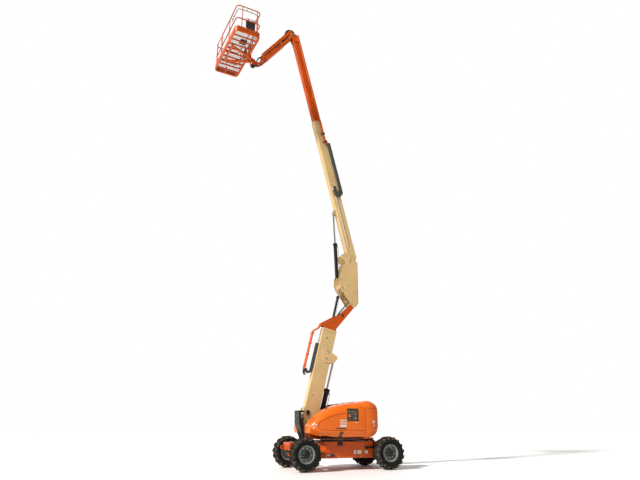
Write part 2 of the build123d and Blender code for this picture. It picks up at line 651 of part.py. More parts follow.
# ---------------------------------------------------------------- main boom
TRACK_WIDE = 100.0
TRACK_DEEP = 40.0
TRACK_Y = MAIN_WIDTH / 2 + 75
BEND_S = 2300.0
BEND_RADIUS = 105.0
BEND_H = 255.0

with BuildPart() as main_lift_barrel:
    add(barrel(MAIN_CYL_BASE, MAIN_CYL_TIP, MAIN_CYL_LENGTH, MAIN_CYL_RADIUS, MAIN_ROD_RADIUS, 62, 26))
save(main_lift_barrel, "main_lift_barrel")

with BuildPart() as main_lift_rod:
    add(rod(MAIN_CYL_BASE, MAIN_CYL_TIP, MAIN_CYL_RADIUS, MAIN_ROD_RADIUS, 40, MAIN_STROKE))
save(main_lift_rod, "main_lift_rod")

with BuildPart() as main_base:
    add(box_tube(MAIN, MAIN_START, MAIN_END, MAIN_LOW, MAIN_HIGH, MAIN_WIDTH, MAIN_WALL))
    add(box_tube(MAIN, MAIN_END - 70, MAIN_END, MAIN_LOW, MAIN_HIGH, MAIN_WIDTH, FLY_GAP - SEAT))
    root = ((-60, -20), (-20, -62), (30, -62), (330, 50), (330, 300), (60, 344), (-30, 300))
    add(plates(MAIN, root, MAIN_WIDTH / 2 + PLATE, MAIN_WIDTH / 2 - 1))
    lug = ((1640, 50), (1700, -60), (1750, -92), (1800, -60), (1880, 50))
    add(plates(MAIN, lug, 64, 46))
    bracket_half = (TRACK_Y - TRACK_WIDE / 2 - SEAT - MAIN_WIDTH / 2 + 1) / 2
    bracket_low = BEND_H - BEND_RADIUS - TRACK_DEEP
    add(plates(MAIN.offset(1 - MAIN_WIDTH / 2 - bracket_half),
               ((2560, bracket_low), (2660, bracket_low), (2660, bracket_low + 2 * TRACK_DEEP),
                (2560, bracket_low + 2 * TRACK_DEEP)), bracket_half))
    with BuildSketch(MAIN):
        Circle(MAIN_PIN + RUN)
    extrude(amount=MAIN_WIDTH, both=True, mode=Mode.SUBTRACT)
save(main_base, "main_base")

FLY_WIDTH = MAIN_WIDTH - 2 * FLY_GAP
MAIN_FLY_LOW = MAIN_LOW + FLY_GAP
MAIN_FLY_HIGH = MAIN_HIGH - FLY_GAP

with BuildPart() as main_fly:
    add(box_tube(MAIN, FLY_START, NOSE_S - 100, MAIN_FLY_LOW, MAIN_FLY_HIGH, FLY_WIDTH, 7, 14))
    nose_start = MAIN_END + FLY_TRAVEL + OPEN
    nose = ((nose_start, MAIN_FLY_LOW), (NOSE_S - 60, 10), (NOSE_S + 40, 10), (NOSE_S + 75, 60),
            (NOSE_S + 60, 140), (NOSE_S - 60, MAIN_FLY_HIGH), (nose_start, MAIN_FLY_HIGH))
    add(plates(MAIN, nose, FLY_WIDTH / 2 + 12, FLY_WIDTH / 2 - 1))
    with BuildSketch(MAIN):
        with Locations((NOSE_S, NOSE_H)):
            Circle(NOSE_PIN + RUN)
    extrude(amount=FLY_WIDTH, both=True, mode=Mode.SUBTRACT)
save(main_fly, "main_fly")

TUBE_H = 250.0
TUBE_RADIUS = 36.0
TUBE_END = 4310.0

with BuildPart() as main_push_tube:
    start = MAIN.from_local_coords(Vector(TUBE_END, TUBE_H, -TRACK_Y))
    with BuildSketch(Plane(origin=start, x_dir=(0, 1, 0), z_dir=MAIN.x_dir)):
        Circle(TUBE_RADIUS)
    extrude(amount=NOSE_S - 120 - TUBE_END)
    bracket_y = (TRACK_Y + FLY_WIDTH / 2 + 12) / 2
    half = (TRACK_Y - FLY_WIDTH / 2 - 12) / 2
    add(plates(MAIN.offset(-bracket_y), ((NOSE_S - 320, 215), (NOSE_S - 180, 215), (NOSE_S - 180, 290),
                                         (NOSE_S - 320, 290)), half))
    clamp_top = BEND_H + BEND_RADIUS - TRACK_DEEP - SEAT
    add(plates(MAIN.offset(-TRACK_Y), ((TUBE_END, 270), (TUBE_END + 120, 270), (TUBE_END + 120, clamp_top),
                                       (TUBE_END, clamp_top)), 40))
save(main_push_tube, "main_push_tube")

with BuildPart() as main_track:
    with BuildSketch(MAIN.offset(-TRACK_Y)):
        with BuildLine():
            centre_line = Polyline((2640, BEND_H - BEND_RADIUS), (BEND_S + BEND_RADIUS, BEND_H - BEND_RADIUS))
            TangentArc(centre_line @ 1, (BEND_S + BEND_RADIUS, BEND_H + BEND_RADIUS), tangent=(-1, 0))
            Line((BEND_S + BEND_RADIUS, BEND_H + BEND_RADIUS), (TUBE_END, BEND_H + BEND_RADIUS))
        trace(line_width=2 * TRACK_DEEP)
    extrude(amount=TRACK_WIDE / 2, both=True)
save(main_track, "main_track")

with BuildPart() as tower_track:
    with BuildSketch(TOWER):
        with BuildLine():
            upper = Line((2080, -160), (1235, -160))
            TangentArc(upper @ 1, (1235, -330), tangent=(-1, 0))
        trace(line_width=60)
    extrude(amount=60, both=True)
save(tower_track, "tower_track")

# ---------------------------------------------------------------------- jib
ROOT_OUTER = FLY_WIDTH / 2 - 1 - OPEN
ROOT_INNER = JIB_WIDTH / 2 + OPEN
CHEEK_OUTER = 74.0
CHEEK_INNER = 54.0
STUB_INNER = 50.0
LINK_DEPTH = 110.0
JIB_CYL_BASE = (JIB_X - 93.0, JIB_Z + 199.0)
JIB_CYL_TIP = spot(JIB, 750, 150)
JIB_CYL_RADIUS = 34.0
JIB_ROD_RADIUS = 18.0
JIB_STROKE = 384.0
JIB_CYL_LENGTH = 540.0
BOX_START = 430.0
BOX_END = JIB_LENGTH - 210.0


def round_pins(x, z, radius, outer, inner):
    """Pair of short round pins between two distances from the middle."""
    with BuildPart() as work:
        add(pin(SIDE, x, z, radius, outer))
        add(pin(SIDE, x, z, radius + 1, inner), mode=Mode.SUBTRACT)
    return work.part


def bore(x, z, radius, half=300.0):
    """Round tool through the whole width."""
    return pin(SIDE, x, z, radius + RUN, half)


with BuildPart() as jib_root:
    outline = ((NOSE_X - 60, NOSE_Z - 30), (NOSE_X - 30, NOSE_Z - 65), (JIB_X + 10, JIB_Z - 55),
               (JIB_X + 50, JIB_Z - 30), (JIB_X + 55, JIB_Z + 20), (JIB_X + 25, JIB_Z + 345),
               (JIB_X - 10, JIB_Z + 385), (JIB_X - 80, JIB_Z + 375), (NOSE_X - 60, NOSE_Z + 40))
    add(plates(SIDE, outline, ROOT_OUTER, ROOT_INNER))
    add(round_pins(JIB_X, JIB_Z, JIB_PIN, ROOT_OUTER, STUB_INNER))
    add(round_pins(JIB_X + LINK_DX, JIB_Z + LINK_DZ, JIB_PIN, ROOT_OUTER, STUB_INNER))
    add(pin(SIDE, *JIB_CYL_BASE, 16, ROOT_OUTER))
    add(round_pins(NOSE_X, NOSE_Z, NOSE_PIN, FLY_WIDTH / 2 + 24, ROOT_INNER))
save(jib_root, "jib_root")

with BuildPart() as jib_arm:
    add(box_tube(JIB, BOX_START, BOX_END, -JIB_DEPTH / 2, JIB_DEPTH / 2, JIB_WIDTH, 7, 14))
    cheek = 55.0
    for near, far in ((-cheek, BOX_START + 30), (BOX_END - 30, JIB_LENGTH + cheek)):
        add(plates(JIB, ((near, -cheek), (far, -cheek), (far, cheek), (near, cheek)), CHEEK_OUTER, CHEEK_INNER))
    add(plates(JIB, ((700, JIB_DEPTH / 2 - 3), (710, 150), (750, 182), (790, 150), (800, JIB_DEPTH / 2 - 3)),
               40, 27))
    for along in (0, JIB_LENGTH):
        x, z = spot(JIB, along, 0)
        add(bore(x, z, JIB_PIN), mode=Mode.SUBTRACT)
save(jib_arm, "jib_arm")

LINK = tilted(JIB_X + LINK_DX, JIB_Z + LINK_DZ, JIB_ANGLE)
with BuildPart() as jib_link:
    half = LINK_DEPTH / 2
    add(plates(LINK, ((-half, -half + 20), (-half + 20, -half), (JIB_LENGTH + half - 20, -half),
                      (JIB_LENGTH + half, -half + 20), (JIB_LENGTH + half, half - 20),
                      (JIB_LENGTH + half - 20, half), (-half + 20, half), (-half, half - 20)),
               CHEEK_OUTER - 2, CHEEK_INNER - 2))
    add(plates(LINK, ((1180, -40), (1520, -40), (1520, 40), (1180, 40)), CHEEK_INNER))
    for along in (0, JIB_LENGTH):
        x, z = spot(LINK, along, 0)
        add(bore(x, z, JIB_PIN), mode=Mode.SUBTRACT)
save(jib_link, "jib_link")

with BuildPart() as jib_lift_barrel:
    add(barrel(JIB_CYL_BASE, JIB_CYL_TIP, JIB_CYL_LENGTH, JIB_CYL_RADIUS, JIB_ROD_RADIUS, 40, 16))
save(jib_lift_barrel, "jib_lift_barrel")

with BuildPart() as jib_lift_rod:
    add(rod(JIB_CYL_BASE, JIB_CYL_TIP, JIB_CYL_RADIUS, JIB_ROD_RADIUS, 22, JIB_STROKE))
save(jib_lift_rod, "jib_lift_rod")

with BuildPart() as jib_end:
    x, z = JIB_END_X, JIB_END_Z
    outline = ((x - 85, z + 375), (x - 45, z + 388), (x + 5, z + 380), (x + 25, z + 335), (x + 60, z + 10),
               (x + 120, ROTATOR_HIGH - OPEN), (ROTATOR_X, ROTATOR_HIGH - OPEN), (ROTATOR_X, ROTATOR_LOW + 15),
               (x + 100, ROTATOR_LOW + 60), (x, z - 62), (x - 55, z - 20), (x - 75, z + 200))
    add(plates(SIDE, outline, ROOT_OUTER, ROOT_INNER))
    add(block(x + 130, ROTATOR_X, -ROOT_OUTER, ROOT_OUTER, ROTATOR_LOW + 50, ROTATOR_HIGH - OPEN - 10))
    add(round_pins(x, z, JIB_PIN, ROOT_OUTER, STUB_INNER))
    add(round_pins(x + LINK_DX, z + LINK_DZ, JIB_PIN, ROOT_OUTER, STUB_INNER))
    with BuildSketch(Plane.XY.offset(ROTATOR_LOW)):
        with Locations((ROTATOR_X, 0)):
            Circle(ROTATOR_RADIUS + 15)
    extrude(amount=ROTATOR_HIGH - ROTATOR_LOW)
save(jib_end, "jib_end")

# ----------------------------------------------------------------- platform
TURN = (cos(radians(PLATFORM_TURN)), sin(radians(PLATFORM_TURN)), 0)
PLATFORM = Plane(origin=(ROTATOR_X, 0, 0), x_dir=TURN, z_dir=(0, 0, 1))
BACK = PLATFORM_BACK
FRONT = PLATFORM_BACK + PLATFORM_DEPTH
HALF_LENGTH = PLATFORM_LENGTH / 2
DECK_FRAME = 50.0
DECK_Z = FLOOR_Z + DECK_FRAME
RAIL_BACK = BACK + RAIL_RADIUS
RAIL_FRONT = FRONT - RAIL_RADIUS
RAIL_SIDE = HALF_LENGTH - RAIL_RADIUS
TOP_RAIL = FLOOR_Z + RAIL_HEIGHT - RAIL_RADIUS
MID_RAIL = FLOOR_Z + RAIL_HEIGHT / 2
GATE_FAR = GATE_CORNER - HALF_LENGTH
GATE_NEAR = GATE_FAR + GATE_WIDE
POST_RADIUS = 16.0
GATE_AXIS = GATE_NEAR - 39.0
HINGE_PIN = 7.0
HINGE_TUBE = 14.0
HINGE_TALL = 60.0
HINGE_LEVELS = (DECK_Z + 320.0, TOP_RAIL - 200.0)
RIBS = 9


def local_box(x0, x1, y0, y1, z0, z1):
    """Box in the platform's own turned frame."""
    with BuildPart() as work:
        with BuildSketch(PLATFORM.offset(z0)):
            with Locations(((x0 + x1) / 2, (y0 + y1) / 2)):
                Rectangle(x1 - x0, y1 - y0)
        extrude(amount=z1 - z0)
    return work.part


def rail(level, radius, points, corner, close=False):
    """Bent tube on one level of the platform."""
    with BuildPart() as work:
        with BuildLine(PLATFORM.offset(level)) as path:
            FilletPolyline(*points, radius=corner, close=close)
        start = path.line @ 0
        with BuildSketch(Plane(origin=start, z_dir=path.line % 0)):
            Circle(radius)
        sweep(path=path.line)
    return work.part


def post(x, y, low, high, radius):
    """Upright tube of the platform."""
    with BuildPart() as work:
        with BuildSketch(PLATFORM.offset(low)):
            with Locations((x, y)):
                Circle(radius)
        extrude(amount=high - low)
    return work.part


with BuildPart() as platform_support:
    with BuildSketch(PLATFORM.offset(ROTATOR_HIGH + SEAT)):
        Circle(ROTATOR_RADIUS)
    extrude(amount=FLOOR_Z - ROTATOR_HIGH - 2 * SEAT)
    beam = 60.0
    for side in (-1, 1):
        with BuildSketch(PLATFORM.offset(FLOOR_Z - SEAT - beam)):
            with BuildLine():
                Polyline((0, side * 20), (FRONT - 120, side * 420), (FRONT - 120, side * 480), (-40, side * 75),
                         close=True)
            make_face()
        extrude(amount=beam)
    add(local_box(FRONT - 180, FRONT - 120, -480, 480, FLOOR_Z - SEAT - beam, FLOOR_Z - SEAT))
    for side in (-1, 1):
        y0, y1 = sorted((side * 30, side * 80))
        add(local_box(105, BACK - OPEN, y0, y1, FLOOR_Z - SEAT - beam, FLOOR_Z + 620))
    add(local_box(105, BACK - OPEN, -80, 80, FLOOR_Z + 560, FLOOR_Z + 620))
    add(local_box(105, BACK - SEAT, -80, 80, FLOOR_Z + 20, FLOOR_Z + 140))
save(platform_support, "platform_support")

with BuildPart() as platform_floor:
    with BuildSketch(PLATFORM.offset(FLOOR_Z)):
        with Locations(((BACK + FRONT) / 2, 0)):
            RectangleRounded(PLATFORM_DEPTH, PLATFORM_LENGTH, CORNER_RADIUS)
            RectangleRounded(PLATFORM_DEPTH - 90, PLATFORM_LENGTH - 90, CORNER_RADIUS - 45, mode=Mode.SUBTRACT)
    extrude(amount=DECK_FRAME)
    for index in range(RIBS):
        y = (index - (RIBS - 1) / 2) * (PLATFORM_LENGTH - 60) / (RIBS + 1)
        add(local_box(BACK + 30, FRONT - 30, y - 15, y + 15, FLOOR_Z, DECK_Z))
save(platform_floor, "platform_floor")

with BuildPart() as platform_rails:
    loop = ((RAIL_FRONT, GATE_NEAR), (RAIL_FRONT, RAIL_SIDE), (RAIL_BACK, RAIL_SIDE), (RAIL_BACK, -RAIL_SIDE),
            (RAIL_FRONT, -RAIL_SIDE), (RAIL_FRONT, GATE_FAR))
    for level in (TOP_RAIL, MID_RAIL):
        add(rail(level, RAIL_RADIUS, loop, CORNER_RADIUS))
    for x, y in ((RAIL_FRONT, GATE_NEAR), (RAIL_FRONT, GATE_FAR), (RAIL_FRONT, 410.0), (RAIL_FRONT - 200, RAIL_SIDE),
                 (RAIL_BACK + 130, RAIL_SIDE), (RAIL_BACK, 410.0), (RAIL_BACK, -410.0),
                 (RAIL_BACK + 430, -RAIL_SIDE), (RAIL_BACK, RAIL_SIDE - 300), (RAIL_BACK, -RAIL_SIDE + 300)):
        add(post(x, y, DECK_Z, TOP_RAIL, POST_RADIUS))
    for level in HINGE_LEVELS:
        add(local_box(RAIL_FRONT - 8, RAIL_FRONT + 8, GATE_AXIS - 8, GATE_NEAR, level, level + HINGE_TALL / 4))
        add(post(RAIL_FRONT, GATE_AXIS, level, level + HINGE_TALL, HINGE_PIN))
    with BuildSketch(PLATFORM.offset(DECK_Z)):
        with Locations(((BACK + FRONT) / 2, 0)):
            RectangleRounded(PLATFORM_DEPTH - 2, PLATFORM_LENGTH - 2, CORNER_RADIUS)
            RectangleRounded(PLATFORM_DEPTH - 12, PLATFORM_LENGTH - 12, CORNER_RADIUS - 5, mode=Mode.SUBTRACT)
    extrude(amount=TOE_HEIGHT)
save(platform_rails, "platform_rails")

with BuildPart() as gate:
    stile = GATE_AXIS - HINGE_TUBE + 2
    far = GATE_FAR + RAIL_RADIUS + OPEN
    low = DECK_Z + TOE_HEIGHT + 20
    for level in (low, MID_RAIL - 15, TOP_RAIL - 15):
        add(local_box(RAIL_FRONT - 12, RAIL_FRONT + 12, far, stile, level, level + 30))
    for y in (stile - 12, far + 12):
        add(local_box(RAIL_FRONT - 12, RAIL_FRONT + 12, y - 12, y + 12, low, TOP_RAIL))
    for level in HINGE_LEVELS:
        add(post(RAIL_FRONT, GATE_AXIS, level + HINGE_TALL / 4 + SEAT, level + HINGE_TALL, HINGE_TUBE))
    for level in HINGE_LEVELS:
        add(post(RAIL_FRONT, GATE_AXIS, level, level + HINGE_TALL + 1, HINGE_PIN + RUN), mode=Mode.SUBTRACT)
save(gate, "gate")

CONSOLE_SIDE = RAIL_SIDE - RAIL_RADIUS - SEAT
with BuildPart() as console:
    add(local_box(RAIL_BACK + 180, RAIL_BACK + 480, RAIL_SIDE - 150, CONSOLE_SIDE, MID_RAIL - 170, MID_RAIL + 40))
    add(local_box(RAIL_BACK + 180, RAIL_BACK + 440, RAIL_SIDE - 140, CONSOLE_SIDE, DECK_Z + 180, MID_RAIL - 170))
save(console, "console")
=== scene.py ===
"""Dressing of the articulating boom lift: finishes, fasteners, hoses and fittings."""

import logging
import math
from dataclasses import dataclass
from enum import Enum
from typing import Sequence

import bmesh
import bpy
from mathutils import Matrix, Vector
from mathutils.bvhtree import BVHTree


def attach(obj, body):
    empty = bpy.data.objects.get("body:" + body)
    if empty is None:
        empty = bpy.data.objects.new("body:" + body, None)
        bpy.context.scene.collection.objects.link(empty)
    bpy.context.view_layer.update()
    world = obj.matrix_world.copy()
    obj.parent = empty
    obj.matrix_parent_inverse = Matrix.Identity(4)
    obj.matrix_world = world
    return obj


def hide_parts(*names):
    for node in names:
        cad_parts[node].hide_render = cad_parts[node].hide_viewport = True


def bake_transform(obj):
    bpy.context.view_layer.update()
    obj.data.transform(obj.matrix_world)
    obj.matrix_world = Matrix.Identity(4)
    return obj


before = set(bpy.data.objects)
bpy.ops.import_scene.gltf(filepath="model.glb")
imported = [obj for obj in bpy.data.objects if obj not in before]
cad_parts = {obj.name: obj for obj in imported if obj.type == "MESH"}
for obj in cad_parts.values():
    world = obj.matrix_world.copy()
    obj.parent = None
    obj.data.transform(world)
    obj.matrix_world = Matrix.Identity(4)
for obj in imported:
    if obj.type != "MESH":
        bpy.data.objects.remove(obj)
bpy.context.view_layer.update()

log = logging.getLogger("lift")
Point = tuple[float, float, float]
Colour = tuple[float, float, float, float]


# ------------------------------------------------------------ shader maths
class Value:
    """One output of a shader node, usable in Python expressions."""

    def __init__(self, shader: "Shader", socket: bpy.types.NodeSocket) -> None:
        """Keep the shader and the output that this value stands for."""
        self.shader = shader
        self.socket = socket

    def _math(self, operation: str, first: "Value | float", second: "Value | float") -> "Value":
        """Add one Math node.

        Args:
            operation: The node's operation.
            first: Left operand.
            second: Right operand.

        Returns:
            The node's result.
        """
        return self.shader.node("ShaderNodeMath", {"operation": operation}, {0: first, 1: second})

    def __add__(self, other: "Value | float") -> "Value":
        """Sum."""
        return self._math("ADD", self, other)

    __radd__ = __add__

    def __sub__(self, other: "Value | float") -> "Value":
        """Difference."""
        return self._math("SUBTRACT", self, other)

    def __rsub__(self, other: float) -> "Value":
        """Difference from a number."""
        return self._math("SUBTRACT", other, self)

    def __mul__(self, other: "Value | float") -> "Value":
        """Product."""
        return self._math("MULTIPLY", self, other)

    __rmul__ = __mul__

    def __pow__(self, other: float) -> "Value":
        """Power."""
        return self._math("POWER", self, other)

    def above(self, edge: float, soft: float = 0.05) -> "Value":
        """Soft threshold.

        Args:
            edge: Value where the mask starts to rise.
            soft: Width of the rise.

        Returns:
            Mask from 0 to 1.
        """
        return self.shader.node("ShaderNodeMapRange", {"interpolation_type": "SMOOTHSTEP"},
                                {0: self, 1: edge, 2: edge + soft, 3: 0.0, 4: 1.0})


class Shader:
    """Principled material under construction."""

    def __init__(self, name: str) -> None:
        """Start an empty principled material of that name."""
        self.material = bpy.data.materials.new(name)
        self.material.use_nodes = True
        self.tree = self.material.node_tree
        self.bsdf = self.tree.nodes["Principled BSDF"]

    def node(self, kind: str, settings: dict | None = None, inputs: dict | None = None,
             output: int | str = 0) -> Value:
        """Add one node.

        Args:
            kind: The node's type.
            settings: Its settings, set before the sockets.
            inputs: Values or links of its sockets, by index or name.
            output: Which output is returned.

        Returns:
            That output.
        """
        made = self.tree.nodes.new(kind)
        for key, value in (settings or {}).items():
            setattr(made, key, value)
        for key, value in (inputs or {}).items():
            self.feed(made.inputs[key], value)
        return Value(self, made.outputs[output])

    def feed(self, socket: bpy.types.NodeSocket, value: "Value | float | Sequence[float]") -> None:
        """Link a value to a socket, or set the socket to a number or colour."""
        if isinstance(value, Value):
            self.tree.links.new(value.socket, socket)
        else:
            socket.default_value = value

    def place(self, stretch: Point = (1.0, 1.0, 1.0), centre: Point = (0.0, 0.0, 0.0)) -> Value:
        """Object coordinates, stretched about a centre.

        Args:
            stretch: Scale along each axis.
            centre: Point that becomes the origin.

        Returns:
            The coordinates.
        """
        raw = self.node("ShaderNodeTexCoord", output="Object")
        shift = tuple(-c * s for c, s in zip(centre, stretch))
        return self.node("ShaderNodeMapping", {}, {"Vector": raw, "Location": shift, "Scale": stretch})

    def noise(self, where: Value, scale: float, detail: float = 3.0, rough: float = 0.55) -> Value:
        """Noise from 0 to 1 at a scale per metre."""
        return self.node("ShaderNodeTexNoise", {}, {"Vector": where, "Scale": scale, "Detail": detail,
                                                    "Roughness": rough})

    def cells(self, where: Value, scale: float, feature: str = "F1") -> Value:
        """Distance in a cell pattern at a scale per metre."""
        return self.node("ShaderNodeTexVoronoi", {"feature": feature}, {"Vector": where, "Scale": scale})

    def blend(self, mask: "Value | float", first: "Value | Colour", second: "Value | Colour") -> Value:
        """Mix two colours by a mask."""
        made = self.tree.nodes.new("ShaderNodeMix")
        made.data_type = "RGBA"
        self.feed(made.inputs[0], mask)
        self.feed(made.inputs[6], first)
        self.feed(made.inputs[7], second)
        return Value(self, made.outputs[2])

    def facing_up(self, edge: float = 0.55, soft: float = 0.4) -> Value:
        """Mask of surfaces that face upwards."""
        normal = self.node("ShaderNodeNewGeometry", output="Normal")
        return self.node("ShaderNodeSeparateXYZ", {}, {0: normal}, 2).above(edge, soft)

    def height(self, low: float, high: float) -> Value:
        """Mask that falls from 1 at a low height to 0 at a high one."""
        level = self.node("ShaderNodeSeparateXYZ", {}, {0: self.place()}, 2)
        return self.node("ShaderNodeMapRange", {}, {0: level, 1: low, 2: high, 3: 1.0, 4: 0.0})

    def finish(self, colour: "Value | Colour", roughness: "Value | float", metallic: float = 0.0,
               bump: Value | None = None, strength: float = 0.1, depth: float = 0.002,
               **fixed: float) -> bpy.types.Material:
        """Connect the shader's sockets.

        Args:
            colour: Base colour.
            roughness: Roughness.
            metallic: Metallic share.
            bump: Height that feeds the bump.
            strength: Bump strength.
            depth: Bump distance in metres.
            **fixed: Other sockets' constants, with underscores for spaces.

        Returns:
            The finished material.
        """
        self.feed(self.bsdf.inputs["Base Color"], colour)
        self.feed(self.bsdf.inputs["Roughness"], roughness)
        self.feed(self.bsdf.inputs["Metallic"], metallic)
        for key, value in fixed.items():
            self.bsdf.inputs[key.replace("_", " ")].default_value = value
        if bump is not None:
            made = self.node("ShaderNodeBump", {}, {"Strength": strength, "Distance": depth, "Height": bump})
            self.feed(self.bsdf.inputs["Normal"], made)
        return self.material


DUST: Colour = (0.42, 0.33, 0.23, 1.0)


@dataclass(frozen=True)
class Paint:
    """Sprayed enamel on plate: orange peel, faint runs of grime, dust on what faces up."""

    name: str
    colour: Colour
    roughness: float = 0.32
    grime: float = 0.25
    dust: float = 0.25
    coat: float = 0.25
    shade: float = 0.82

    def build(self) -> bpy.types.Material:
        """Make the material."""
        s = Shader(self.name)
        here = s.place()
        tone = s.noise(here, 1.7, 5.0)
        runs = s.noise(s.place((7.0, 7.0, 0.7)), 1.0, 4.0, 0.65).above(0.50, 0.28)
        film = s.noise(here, 9.0, 6.0, 0.7).above(0.46, 0.30)
        dark = tuple(c * self.shade for c in self.colour[:3]) + (1.0,)
        sooty = tuple(c * 0.45 for c in self.colour[:3]) + (1.0,)
        colour = s.blend(tone.above(0.30, 0.45), dark, self.colour)
        colour = s.blend(runs * film * self.grime, colour, sooty)
        settled = s.facing_up() * s.noise(here, 14.0, 6.0, 0.7) * self.dust
        low = s.height(0.2, 1.1) * film * self.dust
        chips = s.noise(here, 55.0, 2.0).above(0.71, 0.02) * s.noise(here, 3.0).above(0.50, 0.10)
        colour = s.blend(settled + low, colour, DUST)
        colour = s.blend(chips * 0.55, colour, (0.10, 0.085, 0.075, 1.0))
        roughness = self.roughness + film * 0.10 + settled * 0.5 + runs * 0.08
        peel = s.noise(here, 260.0, 2.0) * 0.55 + s.noise(here, 22.0, 3.0) * 0.45 - chips * 0.6
        return s.finish(colour, roughness, 0.0, peel, 0.10, 0.0015, Coat_Weight=self.coat, Coat_Roughness=0.12,
                        Specular_IOR_Level=0.3)


@dataclass(frozen=True)
class Metal:
    """Bare or plated metal with fine brushing and stains."""

    name: str
    colour: Colour
    roughness: float = 0.3
    stain: float = 0.3
    brush: Point = (30.0, 30.0, 300.0)

    def build(self) -> bpy.types.Material:
        """Make the material."""
        s = Shader(self.name)
        lines = s.noise(s.place(self.brush), 1.0, 3.0)
        cloud = s.noise(s.place(), 18.0, 5.0, 0.65).above(0.45, 0.30)
        brown = tuple(c * k for c, k in zip(self.colour[:3], (0.55, 0.47, 0.38))) + (1.0,)
        colour = s.blend(cloud * self.stain, self.colour, brown)
        roughness = self.roughness + lines * 0.10 + cloud * self.stain * 0.45
        return s.finish(colour, roughness, 1.0, lines, 0.05, 0.0004)


@dataclass(frozen=True)
class Moulded:
    """Moulded plastic or rubber with a leathery grain and dust in its hollows."""

    name: str
    colour: Colour
    roughness: float = 0.55
    grain: float = 420.0
    strength: float = 0.25
    dust: float = 0.35

    def build(self) -> bpy.types.Material:
        """Make the material."""
        s = Shader(self.name)
        here = s.place()
        pebble = s.cells(here, self.grain)
        cloud = s.noise(here, 6.0, 6.0, 0.7)
        pale = tuple(min(1.0, c * 1.8 + 0.02) for c in self.colour[:3]) + (1.0,)
        colour = s.blend(cloud.above(0.40, 0.35) * 0.5, self.colour, pale)
        colour = s.blend((s.facing_up() * 0.7 + 0.15) * cloud * self.dust, colour, DUST)
        roughness = self.roughness + cloud * 0.18
        return s.finish(colour, roughness, 0.0, pebble + cloud * 0.4, self.strength, 0.0006)


@dataclass(frozen=True)
class Tyre:
    """Tread rubber: dark in the grooves, pale dry mud on the lugs' shoulders."""

    name: str
    colour: Colour = (0.006, 0.006, 0.006, 1.0)
    mud: Colour = (0.33, 0.25, 0.16, 1.0)

    def build(self) -> bpy.types.Material:
        """Make the material, which reads the mesh's wear attribute."""
        s = Shader(self.name)
        here = s.place()
        wear = s.node("ShaderNodeAttribute", {"attribute_name": "wear"}, output="Fac")
        patch = s.noise(here, 24.0, 6.0, 0.7)
        fine = s.noise(here, 130.0, 3.0)
        colour = s.blend(fine.above(0.35, 0.4) * 0.5, self.colour, (0.011, 0.011, 0.011, 1.0))
        coat = (wear * patch.above(0.46, 0.16) * 0.62) + patch.above(0.56, 0.2) * 0.01
        colour = s.blend(coat, colour, self.mud)
        return s.finish(colour, 0.72 + patch * 0.2, 0.0, fine + patch, 0.35, 0.002, Specular_IOR_Level=0.2)


@dataclass(frozen=True)
class Hose:
    """Hydraulic hose cover with a faint wrapped texture."""

    name: str
    colour: Colour = (0.018, 0.018, 0.019, 1.0)

    def build(self) -> bpy.types.Material:
        """Make the material."""
        s = Shader(self.name)
        wrap = s.noise(s.place((60.0, 60.0, 160.0)), 4.0, 2.0)
        cloud = s.noise(s.place(), 9.0, 5.0, 0.7)
        colour = s.blend(cloud.above(0.45, 0.3) * 0.4, self.colour, (0.065, 0.060, 0.054, 1.0))
        return s.finish(colour, 0.42 + cloud * 0.25, 0.0, wrap, 0.3, 0.0008)


class Finish(Enum):
    """The lift's finishes."""

    ORANGE = Paint("orange_enamel", (0.62, 0.088, 0.004, 1.0), 0.38, 0.35, 0.06, 0.05)
    HOOD = Paint("hood_enamel", (0.80, 0.150, 0.008, 1.0), 0.24, 0.18, 0.06, 0.25, 0.90)
    CAST = Paint("cast_enamel", (0.78, 0.145, 0.008, 1.0), 0.30, 0.22, 0.08, 0.20, 0.90)
    # painted shade: dark orange-brown for the beads that stand in for the shade in the covers' creases and seams
    CREASE_SHADE = Paint("painted_crease_shade", (0.16, 0.022, 0.004, 1.0), 0.50, 0.30, 0.10, 0.0)
    CREAM = Paint("cream_enamel", (0.70, 0.49, 0.235, 1.0), 0.34, 0.30, 0.15, 0.25, 0.88)
    BLACK = Paint("black_enamel", (0.008, 0.008, 0.009, 1.0), 0.42, 0.30, 0.05, 0.05)
    GREY = Paint("wheel_enamel", (0.20, 0.235, 0.225, 1.0), 0.40, 0.65, 0.20, 0.10)
    YELLOW = Paint("yellow_mark", (0.80, 0.50, 0.02, 1.0), 0.40, 0.25, 0.15, 0.10)
    PALE = Paint("blank_plate", (0.70, 0.69, 0.66, 1.0), 0.45, 0.45, 0.30, 0.05)
    RED = Moulded("red_button", (0.55, 0.012, 0.010, 1.0), 0.30, 500.0, 0.05, 0.10)
    STEEL = Metal("zinc_steel", (0.55, 0.53, 0.50, 1.0), 0.36, 0.45)
    DARK_STEEL = Metal("ring_steel", (0.20, 0.19, 0.18, 1.0), 0.45, 0.60)
    CHROME = Metal("rod_chrome", (0.82, 0.82, 0.84, 1.0), 0.08, 0.12, (20.0, 20.0, 500.0))
    BRASS = Metal("fitting_brass", (0.70, 0.50, 0.22, 1.0), 0.30, 0.35)
    TYRE = Tyre("tread_rubber")
    PLASTIC = Moulded("black_plastic", (0.020, 0.020, 0.021, 1.0))
    TRACK = Moulded("track_plastic", (0.017, 0.017, 0.018, 1.0), 0.48, 260.0, 0.15, 0.30)
    GRIP = Moulded("grip_sleeve", (0.20, 0.18, 0.22, 1.0), 0.60, 300.0, 0.35, 0.25)
    HOSE = Hose("hose_cover")

    def material(self) -> bpy.types.Material:
        """The finish's material, built on first use."""
        return bpy.data.materials.get(self.value.name) or self.value.build()


